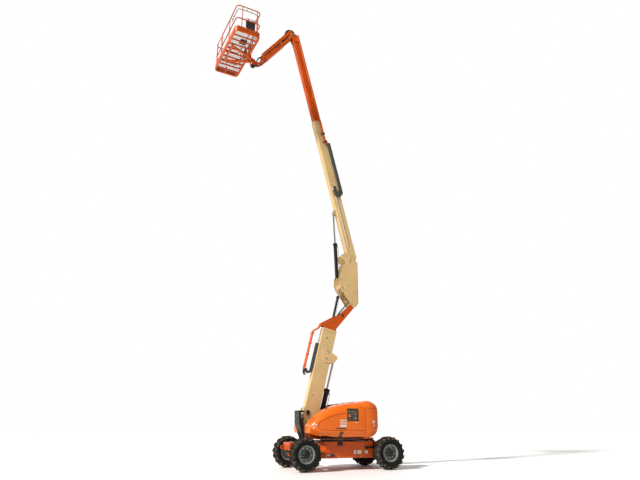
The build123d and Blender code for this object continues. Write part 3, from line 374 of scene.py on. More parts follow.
class Slot(Enum):
    """The record's material slots."""

    ORANGE = "orange_paint"
    MOULDING = "orange_moulding"
    CREAM = "cream_paint"
    BLACK = "black_paint"
    CHROME = "chrome_rod"
    TYRE = "tyre_rubber"
    GREY = "grey_paint"
    STEEL = "bearing_steel"
    CAST = "cast_weight"
    TRACK = "track_plastic"
    HOSE = "hose_rubber"
    PANEL = "panel_plastic"




# ------------------------------------------------------------- places
@dataclass(frozen=True)
class Beam:
    """Line of a boom in the machine's middle plane: along it, out from it, and across the machine."""

    x: float
    z: float
    degrees: float

    @property
    def along(self) -> Vector:
        """Direction along the boom."""
        return Vector((math.cos(math.radians(self.degrees)), 0.0, math.sin(math.radians(self.degrees))))

    @property
    def out(self) -> Vector:
        """Direction out from the boom's underside to its top."""
        return Vector((-self.along.z, 0.0, self.along.x))

    def at(self, along: float, out: float, y: float = 0.0) -> Vector:
        """Point of the boom in the row frame."""
        return Vector((self.x, y, self.z)) + self.along * along + self.out * out


@dataclass(frozen=True)
class Deck:
    """The platform's own frame, turned about its rotator."""

    x: float
    degrees: float

    @property
    def out(self) -> Vector:
        """Direction away from the boom."""
        return Vector((math.cos(math.radians(self.degrees)), math.sin(math.radians(self.degrees)), 0.0))

    @property
    def side(self) -> Vector:
        """Direction along the platform's long sides."""
        return Vector((-self.out.y, self.out.x, 0.0))

    def at(self, out: float, side: float, z: float) -> Vector:
        """Point of the platform in the row frame."""
        return Vector((self.x, 0.0, z)) + self.out * out + self.side * side


LOWER = Beam(0.975, 1.569, 103.7)
UPPER = Beam(-0.415, 6.451, 76.0)
ARM = Beam(1.780, 15.070, -53.0)
STAY = Beam(1.750, 15.400, -53.0)
BASKET = Deck(3.130, 8.0)
LEFT = Vector((0.0, 1.0, 0.0))
UP = Vector((0.0, 0.0, 1.0))
SIDES = (-1.0, 1.0)
MAIN_RAM_BASE: Point = (-0.069, 0.0, 5.749)
MAIN_RAM_LUG = (1.754, -0.036)  # along and out from the main boom's pin
NOSE_ALONG = 9.026  # the jib bracket's pin on the main boom
OUTSIDE = 1.3  # beyond the covers' sides, where a search for their surface starts


# ------------------------------------------------------------- meshes
class Form:
    """Mesh under construction, in the row frame."""

    def __init__(self) -> None:
        """Start with nothing."""
        self.bm = bmesh.new()

    def prism(self, outline: Sequence[Vector], depth: Vector) -> "Form":
        """Add a plate.

        Args:
            outline: Corners of one face, in order.
            depth: From that face to the other.

        Returns:
            This form.
        """
        near = [self.bm.verts.new(p) for p in outline]
        far = [self.bm.verts.new(Vector(p) + depth) for p in outline]
        self.bm.faces.new(near)
        self.bm.faces.new(list(reversed(far)))
        count = len(near)
        for i in range(count):
            self.bm.faces.new((near[i], far[i], far[(i + 1) % count], near[(i + 1) % count]))
        return self

    def box(self, centre: Vector, u: Vector, v: Vector, w: Vector) -> "Form":
        """Add a box from its centre and three half edges."""
        centre = Vector(centre)
        return self.prism([centre - u - v - w, centre + u - v - w, centre + u + v - w, centre - u + v - w], w * 2)

    def slab(self, low: Point, high: Point) -> "Form":
        """Add an upright box between two corners."""
        a, b = Vector(low), Vector(high)
        half = (b - a) / 2
        return self.box((a + b) / 2, Vector((half.x, 0, 0)), Vector((0, half.y, 0)), Vector((0, 0, half.z)))

    def ring(self, centre: Vector, axis: Vector, radius: float, sides: int) -> list[bmesh.types.BMVert]:
        """Add a ring of corners about an axis."""
        u = axis.orthogonal().normalized()
        v = axis.cross(u).normalized()
        angles = [2 * math.pi * i / sides for i in range(sides)]
        return [self.bm.verts.new(centre + (u * math.cos(a) + v * math.sin(a)) * radius) for a in angles]

    def turned(self, base: Vector, axis: Vector, profile: Sequence[tuple[float, float]], sides: int = 24) -> "Form":
        """Add a turned solid.

        Args:
            base: Point that the profile starts from.
            axis: Direction of turning.
            profile: Pairs of distance along the axis and radius.
            sides: Corners around it.

        Returns:
            This form.
        """
        axis = Vector(axis).normalized()
        rings = [self.ring(Vector(base) + axis * d, axis, r, sides) for d, r in profile]
        for low, high in zip(rings, rings[1:]):
            for i in range(sides):
                j = (i + 1) % sides
                self.bm.faces.new((low[i], low[j], high[j], high[i]))
        self.bm.faces.new(list(reversed(rings[0])))
        self.bm.faces.new(rings[-1])
        return self

    def rod(self, start: Vector, end: Vector, radius: float, sides: int = 12) -> "Form":
        """Add a round bar with slightly broken edges."""
        start, end = Vector(start), Vector(end)
        length = (end - start).length
        edge = min(radius * 0.2, length * 0.2)
        return self.turned(start, end - start, ((0, radius - edge), (edge, radius), (length - edge, radius),
                                                (length, radius - edge)), sides)

    def tube(self, path: Sequence[Vector], radius: float, sides: int = 10) -> "Form":
        """Add a round tube along a path."""
        path = [Vector(p) for p in path]
        heads = [(b - a).normalized() for a, b in zip(path, path[1:])]
        heads = [heads[0]] + [(a + b).normalized() for a, b in zip(heads, heads[1:])] + [heads[-1]]
        u = heads[0].orthogonal().normalized()
        rings = []
        for point, head in zip(path, heads):
            u = (u - head * u.dot(head)).normalized()
            v = head.cross(u)
            angles = [2 * math.pi * i / sides for i in range(sides)]
            rings.append([self.bm.verts.new(point + (u * math.cos(a) + v * math.sin(a)) * radius) for a in angles])
        for low, high in zip(rings, rings[1:]):
            for i in range(sides):
                j = (i + 1) % sides
                self.bm.faces.new((low[i], low[j], high[j], high[i]))
        self.bm.faces.new(list(reversed(rings[0])))
        self.bm.faces.new(rings[-1])
        return self

    def done(self, name: str, finish: Finish, body: str, slot: Slot, bevel: float = 0.0,
             smooth: float = 38.0) -> bpy.types.Object:
        """Turn the form into a piece that rides on a body.

        Args:
            name: The piece's name.
            finish: Its finish.
            body: The body that carries it.
            slot: The record's slot of that finish; not used.
            bevel: Width of its broken edges, in metres.
            smooth: Edges flatter than this many degrees are smooth.

        Returns:
            The piece.
        """
        if bevel:
            sharp = [e for e in self.bm.edges if len(e.link_faces) == 2 and e.calc_face_angle(0.0) > 0.5]
            bmesh.ops.bevel(self.bm, geom=sharp, offset=bevel, segments=2, profile=0.6, affect="EDGES",
                            clamp_overlap=True)
        bmesh.ops.recalc_face_normals(self.bm, faces=self.bm.faces)
        mesh = bpy.data.meshes.new(name)
        self.bm.to_mesh(mesh)
        self.bm.free()
        return settle(name, mesh, finish, body, smooth)


def settle(name: str, mesh: bpy.types.Mesh, finish: Finish, body: str,
           smooth: float = 38.0) -> bpy.types.Object:
    """Make a finished mesh a piece of the lift.

    Args:
        name: The piece's name.
        mesh: Its mesh, in the row frame.
        finish: Its finish.
        body: The body that carries it.
        smooth: Edges flatter than this many degrees are smooth.

    Returns:
        The piece.
    """
    if not mesh.materials:
        mesh.materials.append(finish.material())
    mesh.shade_smooth()
    mesh.set_sharp_from_angle(angle=math.radians(smooth))
    piece = bpy.data.objects.new(name, mesh)
    frame_scene().collection.objects.link(piece)
    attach(piece, body)
    return piece


def frame_scene() -> bpy.types.Scene:
    """The scene."""
    return bpy.context.scene


def sweep(points: Sequence[Sequence[float]], steps: int = 8) -> list[Vector]:
    """Smooth path through points.

    Args:
        points: Points that the path runs through.
        steps: Divisions between two points.

    Returns:
        The path's points.
    """
    p = [Vector(q) for q in points]
    p = [p[0] * 2 - p[1]] + p + [p[-1] * 2 - p[-2]]
    path = []
    for a, b, c, d in zip(p, p[1:], p[2:], p[3:]):
        for i in range(steps):
            t = i / steps
            path.append(0.5 * (2 * b + (c - a) * t + (2 * a - 5 * b + 4 * c - d) * t * t
                               + (3 * b - a - 3 * c + d) * t ** 3))
    return path + [p[-2]]


class Skin:
    """Outer surface of a CAD node, for seating fittings on it."""

    def __init__(self, node: str) -> None:
        """Read the node's surface."""
        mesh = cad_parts[node].data
        self.tree = BVHTree.FromPolygons([v.co for v in mesh.vertices], [tuple(p.vertices) for p in mesh.polygons])

    def hit(self, start: Vector, heading: Vector) -> tuple[Vector, Vector]:
        """First point of the surface along a heading, and its outward direction."""
        point, normal, _, _ = self.tree.ray_cast(Vector(start), Vector(heading))
        if point is None:
            return Vector(start), -Vector(heading)
        return point, (normal if normal.dot(Vector(heading)) < 0 else -normal)

    def pad(self, form: Form, corners: Sequence[Vector], heading: Vector, thick: float, sink: float = 0.0) -> None:
        """Lay a plate of the given corners on the surface.

        Args:
            form: Form that takes the plate.
            corners: Its corners, off the surface.
            heading: Direction towards the surface.
            thick: Height over the surface.
            sink: Depth into it.
        """
        ground = [self.hit(c, heading)[0] for c in corners]
        lift = -Vector(heading).normalized()
        form.prism([g - lift * sink for g in ground], lift * (thick + sink))

    def plate(self, form: Form, hand: float, x: float, z: float, wide: float, tall: float,
              thick: float = 0.002, sink: float = 0.001) -> None:
        """Lay a rectangular plate on one side of the machine.

        Args:
            form: Form that takes the plate.
            hand: Side of the machine, 1 for the left.
            x: Centre along the machine.
            z: Centre's height.
            wide: Size along the machine.
            tall: Size up.
            thick: Height over the surface.
            sink: Depth into it.
        """
        corners = [Vector((x + dx * wide / 2, hand * OUTSIDE, z + dz * tall / 2))
                   for dx, dz in ((-1, -1), (1, -1), (1, 1), (-1, 1))]
        self.pad(form, corners, -LEFT * hand, thick, sink)


# ------------------------------------------------------ geometry nodes
class Grower:
    """Geometry Nodes tree with named inputs, ended by Realize Instances and Set Material."""

    def __init__(self, name: str) -> None:
        """Start a tree with a mesh input and a mesh output."""
        self.tree = bpy.data.node_groups.new(name, "GeometryNodeTree")
        self.tree.interface.new_socket("Geometry", in_out="OUTPUT", socket_type="NodeSocketGeometry")
        self.idents: dict[str, str] = {}
        self.group = self.tree.nodes.new("NodeGroupInput")
        self.add_input("Geometry", "NodeSocketGeometry")
        self.add_input("Material", "NodeSocketMaterial")

    def add_input(self, name: str, kind: str) -> bpy.types.NodeSocket:
        """Declare a named input and return its socket."""
        self.idents[name] = self.tree.interface.new_socket(name, in_out="INPUT", socket_type=kind).identifier
        return self.group.outputs[name]

    def size(self, name: str) -> bpy.types.NodeSocket:
        """Declare a named length."""
        return self.add_input(name, "NodeSocketFloat")

    def node(self, kind: str, settings: dict | None = None, inputs: dict | None = None) -> bpy.types.Node:
        """Add one node.

        Args:
            kind: The node's type.
            settings: Its settings.
            inputs: Values or output sockets of its inputs, by index or name.

        Returns:
            The node.
        """
        made = self.tree.nodes.new(kind)
        for key, value in (settings or {}).items():
            setattr(made, key, value)
        for key, value in (inputs or {}).items():
            if isinstance(value, bpy.types.NodeSocket):
                self.tree.links.new(value, made.inputs[key])
            else:
                made.inputs[key].default_value = value
        return made

    def math(self, operation: str, first: object, second: object = 0.0) -> bpy.types.NodeSocket:
        """Add a Math node and return its result."""
        return self.node("ShaderNodeMath", {"operation": operation}, {0: first, 1: second}).outputs[0]

    def vector(self, x: object, y: object, z: object) -> bpy.types.NodeSocket:
        """Join three numbers to a vector."""
        return self.node("ShaderNodeCombineXYZ", {}, {0: x, 1: y, 2: z}).outputs[0]

    def join(self, *parts: bpy.types.NodeSocket) -> bpy.types.NodeSocket:
        """Join meshes."""
        made = self.node("GeometryNodeJoinGeometry")
        for part in parts:
            self.tree.links.new(part, made.inputs[0])
        return made.outputs[0]

    def close(self, result: bpy.types.NodeSocket) -> "Grower":
        """End the tree with real geometry and its material."""
        real = self.node("GeometryNodeRealizeInstances", {}, {"Geometry": result})
        coat = self.node("GeometryNodeSetMaterial", {}, {"Geometry": real.outputs[0],
                                                         "Material": self.group.outputs["Material"]})
        end = self.tree.nodes.new("NodeGroupOutput")
        self.tree.links.new(coat.outputs[0], end.inputs[0])
        return self

    def mesh(self, name: str, seed: bpy.types.Mesh, finish: Finish, **values: object) -> bpy.types.Mesh:
        """Run the tree on a seed mesh.

        Args:
            name: The result's name.
            seed: Mesh that the tree starts from.
            finish: The result's finish.
            **values: The tree's named inputs, with underscores for spaces.

        Returns:
            A plain mesh.
        """
        holder = bpy.data.objects.new(name + "_seed", seed)
        frame_scene().collection.objects.link(holder)
        modifier = holder.modifiers.new("grow", "NODES")
        modifier.node_group = self.tree
        modifier[self.idents["Material"]] = finish.material()
        for key, value in values.items():
            modifier[self.idents[key.replace("_", " ")]] = value
        ready = holder.evaluated_get(bpy.context.evaluated_depsgraph_get())
        mesh = bpy.data.meshes.new_from_object(ready)
        holder.modifiers.remove(modifier)
        bpy.data.objects.remove(holder)
        mesh.name = name
        return mesh

    def grow(self, name: str, seed: bpy.types.Mesh, finish: Finish, body: str, slot: Slot,
             smooth: float = 38.0, **values: object) -> bpy.types.Object:
        """Run the tree on a seed mesh and make the result a piece.

        Args:
            name: The piece's name.
            seed: Mesh that the tree starts from.
            finish: The piece's finish.
            body: The body that carries it.
            slot: The record's slot; not used.
            smooth: Edges flatter than this many degrees are smooth.
            **values: The tree's named inputs, with underscores for spaces.

        Returns:
            The piece.
        """
        return settle(name, self.mesh(name, seed, finish, **values), finish, body, smooth)


def seed_points(name: str, places: Sequence[tuple[Vector, Vector]]) -> bpy.types.Mesh:
    """Mesh of loose points that each carry a facing direction."""
    mesh = bpy.data.meshes.new(name + "_points")
    mesh.from_pydata([tuple(p) for p, _ in places], [], [])
    facing = mesh.attributes.new("facing", "FLOAT_VECTOR", "POINT")
    for item, (_, direction) in zip(facing.data, places):
        item.vector = Vector(direction).normalized()
    return mesh


def seed_line(name: str, path: Sequence[Vector]) -> bpy.types.Mesh:
    """Mesh of one line along a path."""
    mesh = bpy.data.meshes.new(name + "_line")
    mesh.from_pydata([tuple(p) for p in path], [(i, i + 1) for i in range(len(path) - 1)], [])
    return mesh


def screw_tree() -> Grower:
    """Hexagon heads on washers, each turned at random, at the seed's points."""
    g = Grower("screws")
    across, tall, washer = g.size("Head Radius"), g.size("Head Height"), g.size("Washer Radius")
    seed = g.add_input("Seed", "NodeSocketInt")
    head = g.node("GeometryNodeMeshCylinder", {}, {"Vertices": 6, "Radius": across, "Depth": tall})
    raised = g.node("GeometryNodeTransform", {}, {"Geometry": head.outputs[0],
                                                  "Translation": g.vector(0.0, 0.0, g.math("MULTIPLY", tall, 0.65))})
    tip = g.node("GeometryNodeMeshCylinder", {}, {"Vertices": 8, "Radius": g.math("MULTIPLY", across, 0.5),
                                                  "Depth": g.math("MULTIPLY", tall, 1.5)})
    tip_up = g.node("GeometryNodeTransform", {}, {"Geometry": tip.outputs[0],
                                                  "Translation": g.vector(0.0, 0.0, g.math("MULTIPLY", tall, 0.75))})
    disc = g.node("GeometryNodeMeshCylinder", {}, {"Vertices": 14, "Radius": washer,
                                                   "Depth": g.math("MULTIPLY", tall, 0.36)})
    shape = g.join(raised.outputs[0], tip_up.outputs[0], disc.outputs[0])
    points = g.node("GeometryNodeMeshToPoints", {}, {"Mesh": g.group.outputs["Geometry"]})
    facing = g.node("GeometryNodeInputNamedAttribute", {"data_type": "FLOAT_VECTOR"}, {"Name": "facing"})
    turn = g.node("FunctionNodeRandomValue", {"data_type": "FLOAT"}, {2: 0.0, 3: 6.2832, "Seed": seed})
    spin = g.node("FunctionNodeAxisAngleToRotation", {}, {"Axis": (0.0, 0.0, 1.0), "Angle": turn.outputs[1]})
    aim = g.node("FunctionNodeAlignRotationToVector", {"axis": "Z"}, {"Vector": facing.outputs[0]})
    both = g.node("FunctionNodeRotateRotation", {"rotation_space": "LOCAL"}, {"Rotation": aim.outputs[0],
                                                                              "Rotate By": spin.outputs[0]})
    set_out = g.node("GeometryNodeInstanceOnPoints", {}, {"Points": points.outputs[0], "Instance": shape,
                                                          "Rotation": both.outputs[0]})
    return g.close(set_out.outputs[0])


def rib_tree() -> Grower:
    """Flat bars across a path, one every pitch."""
    g = Grower("ribs")
    pitch, wide, deep, thick = g.size("Pitch"), g.size("Wide"), g.size("Deep"), g.size("Thick")
    curve = g.node("GeometryNodeMeshToCurve", {}, {"Mesh": g.group.outputs["Geometry"]})
    even = g.node("GeometryNodeResampleCurve", {"mode": "LENGTH"}, {"Curve": curve.outputs[0], "Length": pitch})
    bar = g.node("GeometryNodeMeshCube", {}, {"Size": g.vector(deep, wide, thick)})
    tangent = g.node("GeometryNodeInputTangent")
    level = g.node("FunctionNodeAlignRotationToVector", {"axis": "Y"}, {"Vector": (0.0, 1.0, 0.0)})
    aim = g.node("FunctionNodeAlignRotationToVector", {"axis": "Z", "pivot_axis": "Y"},
                 {"Rotation": level.outputs[0], "Vector": tangent.outputs[0]})
    set_out = g.node("GeometryNodeInstanceOnPoints", {}, {"Points": even.outputs[0], "Instance": bar.outputs[0],
                                                          "Rotation": aim.outputs[0]})
    return g.close(set_out.outputs[0])


def slat_tree() -> Grower:
    """Bars side by side: a row along the seed's first edge, each as long as its second."""
    g = Grower("slats")
    count = g.add_input("Count", "NodeSocketInt")
    start, step = g.add_input("Start", "NodeSocketVector"), g.add_input("Step", "NodeSocketVector")
    turn, size = g.add_input("Turn", "NodeSocketVector"), g.add_input("Bar", "NodeSocketVector")
    line = g.node("GeometryNodeMeshLine", {}, {"Count": count, "Start Location": start, "Offset": step})
    bar = g.node("GeometryNodeMeshCube", {}, {"Size": size})
    set_out = g.node("GeometryNodeInstanceOnPoints", {}, {"Points": line.outputs[0], "Instance": bar.outputs[0],
                                                          "Rotation": turn})
    return g.close(g.join(set_out.outputs[0], g.group.outputs["Geometry"]))


def lug_tree() -> Grower:
    """Copies of the seed turned about a wheel's axle, in two handed rows."""
    g = Grower("lugs")
    count = g.add_input("Count", "NodeSocketInt")
    centre = g.add_input("Centre", "NodeSocketVector")
    half = g.math("DIVIDE", 3.14159265, count)
    index = g.node("GeometryNodeInputIndex").outputs[0]
    rows = []
    for hand, lead in ((1.0, 0.0), (-1.0, 1.0)):
        angle = g.math("MULTIPLY_ADD", index, g.math("MULTIPLY", half, 2.0))
        g.tree.links.new(g.math("MULTIPLY", half, lead), angle.node.inputs[2])
        row = g.node("GeometryNodePoints", {}, {"Count": count})
        seed = g.node("GeometryNodeTransform", {}, {"Geometry": g.group.outputs["Geometry"],
                                                    "Scale": (1.0, hand, 1.0)})
        set_out = g.node("GeometryNodeInstanceOnPoints", {}, {"Points": row.outputs[0], "Instance": seed.outputs[0],
                                                              "Rotation": g.vector(0.0, angle, 0.0)})
        rows.append(set_out.outputs[0])
    moved = g.node("GeometryNodeTransform", {}, {"Geometry": g.join(*rows), "Translation": centre})
    return g.close(moved.outputs[0])


@dataclass
class Kit:
    """Trees shared by the sub-assemblies."""

    screws: Grower
    ribs: Grower
    slats: Grower
    lugs: Grower

    def bolts(self, name: str, places: Sequence[tuple[Vector, Vector]], body: str, radius: float = 0.012,
              finish: Finish = Finish.STEEL, slot: Slot = Slot.STEEL) -> bpy.types.Object:
        """Set hexagon screws at places that each have a facing direction."""
        return self.screws.grow(name, seed_points(name, places), finish, body, slot, Head_Radius=radius,
                                Head_Height=radius * 1.1, Washer_Radius=radius * 1.65, Seed=len(places))


def both_sides(points: Sequence[Vector], half: float) -> list[tuple[Vector, Vector]]:
    """Places on a member's two side faces."""
    placed = []
    for side in SIDES:
        placed += [(Vector((p.x, side * half, p.z)), LEFT * side) for p in points]
    return placed


def circle(centre: Vector, axis: Vector, radius: float, count: int) -> list[tuple[Vector, Vector]]:
    """Places evenly round a circle, facing along its axis."""
    axis = Vector(axis).normalized()
    u = axis.orthogonal().normalized()
    v = axis.cross(u)
    angles = [2 * math.pi * (i + 0.5) / count for i in range(count)]
    return [(Vector(centre) + (u * math.cos(a) + v * math.sin(a)) * radius, axis) for a in angles]




# --------------------------------------------------------- sub-assemblies
@dataclass
class Wheels:
    """Four lugged tyres with their hub covers."""

    radius: float = 0.45
    half: float = 0.17
    rim: float = 0.2397
    track: float = 0.88
    base: float = 1.275
    count: int = 16
    sides: int = 32

    def lug(self) -> bpy.types.Mesh:
        """One tread lug at the top of a wheel about the origin, on its +Y half."""
        stations = ((-0.006, 0.4495, 0.418, 0.000, 0.058), (0.110, 0.448, 0.416, 0.105, 0.066),
                    (0.163, 0.428, 0.388, 0.150, 0.076), (0.1705, 0.378, 0.366, 0.160, 0.060))
        bm = bmesh.new()
        wear = bm.verts.layers.float.new("wear")
        rings = []
        for y, top, low, lead, wide in stations:
            ring = []
            for r, a in ((low, lead - wide * 1.25), (top, lead - wide), (top, lead + wide), (low, lead + wide * 1.25)):
                vert = bm.verts.new((r * math.sin(a), y, r * math.cos(a)))
                vert[wear] = (0.15 if r == top and y < 0.15 else 1.0) if y > 0.0 else 0.25
                ring.append(vert)
            rings.append(ring)
        for near, far in zip(rings, rings[1:]):
            for i in range(3):
                bm.faces.new((near[i], near[i + 1], far[i + 1], far[i]))
        bm.faces.new(rings[0])
        bm.faces.new(list(reversed(rings[-1])))
        bmesh.ops.recalc_face_normals(bm, faces=bm.faces)
        mesh = bpy.data.meshes.new("lug")
        bm.to_mesh(mesh)
        bm.free()
        return mesh

    def carcass(self, form: Form, centre: Vector) -> None:
        """Add the tyre's body under its lugs."""
        profile = ((-0.130, self.rim), (-0.160, 0.280), (-0.1695, 0.350), (-0.155, 0.396), (-0.110, 0.417),
                   (0.0, 0.421), (0.110, 0.417), (0.155, 0.396), (0.1695, 0.350), (0.160, 0.280), (0.130, self.rim))
        layer = form.bm.verts.layers.float.get("wear") or form.bm.verts.layers.float.new("wear")
        rings = [form.ring(centre + LEFT * y, LEFT, r, self.sides) for y, r in profile]
        for ring, (y, r) in zip(rings, profile):
            for vert in ring:
                vert[layer] = 0.35 if r > 0.39 else 0.02
        for low, high in zip(rings, rings[1:] + rings[:1]):
            for i in range(self.sides):
                j = (i + 1) % self.sides
                form.bm.faces.new((low[i], low[j], high[j], high[i]))

    def dress(self, kit: Kit) -> None:
        """Build the tyres, hub covers, studs and valves."""
        for end, x in (("front", self.base), ("rear", -self.base)):
            for side, hand in (("left", 1.0), ("right", -1.0)):
                body = f"wheel_{end}_{side}"
                centre = Vector((x, hand * self.track, self.radius))
                tread = kit.lugs.mesh("tread", self.lug(), Finish.TYRE, Count=self.count, Centre=tuple(centre))
                form = Form()
                form.bm.verts.layers.float.new("wear")
                form.bm.from_mesh(tread)
                self.carcass(form, centre)
                tyre = form.done(f"tread_{end}_{side}", Finish.TYRE, body, Slot.TYRE, smooth=48.0)
                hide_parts(f"tyre_{end}_{side}")
                out = LEFT * hand
                cap = Form()
                cap.turned(centre + out * 0.079, out, ((0, 0.112), (0.010, 0.112), (0.018, 0.104), (0.026, 0.098),
                                                       (0.040, 0.094), (0.052, 0.080), (0.056, 0.050)), 36)
                cap.turned(centre + out * 0.134, out, ((0, 0.030), (0.008, 0.030), (0.014, 0.024)), 18)
                cap.done(f"hub_cover_{end}_{side}", Finish.BLACK, body, Slot.BLACK)
                kit.bolts(f"wheel_studs_{end}_{side}", circle(centre + out * 0.013, out, 0.161, 9), body, 0.015)
                kit.bolts(f"hub_screws_{end}_{side}", circle(centre + out * 0.104, out, 0.101, 8), body, 0.006)
                stem = centre + Vector((0.205, 0, 0)) + out * 0.02
                Form().rod(stem, stem + out * 0.04 + Vector((-0.01, 0, 0)), 0.005, 8).done(
                    f"valve_{end}_{side}", Finish.BRASS, body, Slot.STEEL)
        log.info("wheels dressed")


@dataclass
class Chassis:
    """Fittings of the chassis: plates, hatch block, stub, steering cylinder, ring screws."""

    half: float = 0.660
    top: float = 0.760
    base: float = 1.275
    lug_plate: float = 1.577

    def dress(self, kit: Kit) -> None:
        """Build the chassis fittings."""
        blanks = Form()
        for x, z, w, h in ((-0.30, 0.475, 0.075, 0.10), (-0.44, 0.475, 0.13, 0.10), (-0.66, 0.475, 0.09, 0.075)):
            blanks.slab((x - w / 2, self.half, z - h / 2), (x + w / 2, self.half + 0.002, z + h / 2))
            blanks.slab((x - w / 2, -self.half - 0.002, z - h / 2), (x + w / 2, -self.half, z + h / 2))
        blanks.done("chassis_blank_plates", Finish.PALE, "chassis", Slot.ORANGE)
        rail = Form()
        for side in SIDES:
            y = sorted((side * (self.half - 0.02), side * (self.half + 0.010)))
            rail.slab((-0.878, y[0], self.top), (0.612, y[1], self.top + 0.012))
        rail.done("chassis_top_flange", Finish.BLACK, "chassis", Slot.BLACK, 0.002)
        block = Form()
        block.slab((0.085, self.half, 0.655), (0.225, self.half + 0.035, 0.745))
        block.slab((0.100, self.half + 0.034, 0.672), (0.210, self.half + 0.042, 0.728))
        block.done("hatch_block", Finish.BLACK, "chassis", Slot.BLACK, 0.005)
        hook = Form()
        hook.rod((0.785, 0.375, 0.440), (0.815, 0.375, 0.440), 0.020, 16)
        hook.slab((0.788, 0.345, 0.405), (0.796, 0.405, 0.475))
        side = self.half + 0.024
        hook.rod((0.590, side, 0.405), (0.470, side, 0.405), 0.020, 16)
        hook.done("front_stub", Finish.STEEL, "chassis", Slot.STEEL, 0.002)
        plug = Form().turned((0.480, side, 0.405), Vector((-1.0, 0.0, 0.0)),
                             ((0, 0.018), (0.004, 0.024), (0.060, 0.024), (0.062, 0.044), (0.085, 0.044),
                              (0.110, 0.022), (0.150, 0.016)), 20)
        plug.slab((0.395, self.half - 0.001, 0.385), (0.430, side, 0.425))
        plug.done("front_plug", Finish.PLASTIC, "chassis", Slot.BLACK, 0.001)
        stub = Form()
        stub.rod((-0.660, self.half - 0.005, 0.590), (-0.660, self.half + 0.040, 0.590), 0.045, 24)
        stub.rod((-0.660, self.half + 0.02, 0.590), (-0.880, self.half + 0.02, 0.600), 0.026, 16)
        stub.slab((-0.915, 0.560, 0.560), (-0.880, 0.680, 0.800))
        stub.slab((-0.915, -0.680, 0.560), (-0.880, -0.560, 0.800))
        stub.done("rear_stub", Finish.BLACK, "chassis", Slot.BLACK, 0.003)
        steer = Form()
        steer.rod((self.base + 0.155, -0.24, 0.47), (self.base + 0.155, 0.24, 0.47), 0.036, 20)
        steer.slab((self.base + 0.105, -0.20, 0.43), (self.base + 0.150, -0.15, 0.51))
        steer.slab((self.base + 0.105, 0.15, 0.43), (self.base + 0.150, 0.20, 0.51))
        for side in SIDES:
            steer.rod((self.base + 0.155, side * 0.24, 0.47), (self.base + 0.155, side * 0.262, 0.47), 0.042, 20)
        steer.done("steering_barrel", Finish.BLACK, "chassis", Slot.BLACK)
        Form().rod((self.base + 0.155, -0.40, 0.47), (self.base + 0.155, 0.40, 0.47), 0.017, 16).done(
            "steering_rod", Finish.CHROME, "chassis", Slot.CHROME)
        kit.bolts("ring_screws", circle(Vector((0, 0, self.top)), UP, 0.545, 30), "chassis", 0.013)
        face = [Vector((x, 0, z)) for x in (-0.84, -0.48, -0.12, 0.24, 0.58) for z in (0.355,)]
        kit.bolts("chassis_side_screws", both_sides(face, self.half), "chassis", 0.009)
        for name, x in (("front", self.base), ("rear", -self.base)):
            pins = [(Vector((x + dx, y, 0.741)), UP) for dx in (-0.08, 0.08) for y in (-0.25, 0.25)]
            kit.bolts(f"axle_screws_{name}", pins, "chassis", 0.016)
        for name, sign in (("front", 1.0), ("rear", -1.0)):
            heads = [(Vector((sign * self.lug_plate, y, z)), Vector((sign, 0, 0)))
                     for y in (-0.262, -0.085, 0.085, 0.262) for z in (0.558, 0.642)]
            kit.bolts(f"tie_down_screws_{name}", heads, "chassis", 0.010)
        hoses = Form()
        for k, y in enumerate((0.10, 0.14, 0.18)):
            hoses.tube(sweep(((0.795, y, 0.60), (0.90, y, 0.56 - 0.02 * k), (1.02, y + 0.05, 0.545),
                              (1.10, y + 0.10, 0.50), (1.165, y + 0.16, 0.46))), 0.010)
        hoses.done("drive_hoses", Finish.HOSE, "chassis", Slot.HOSE)
        log.info("chassis dressed")


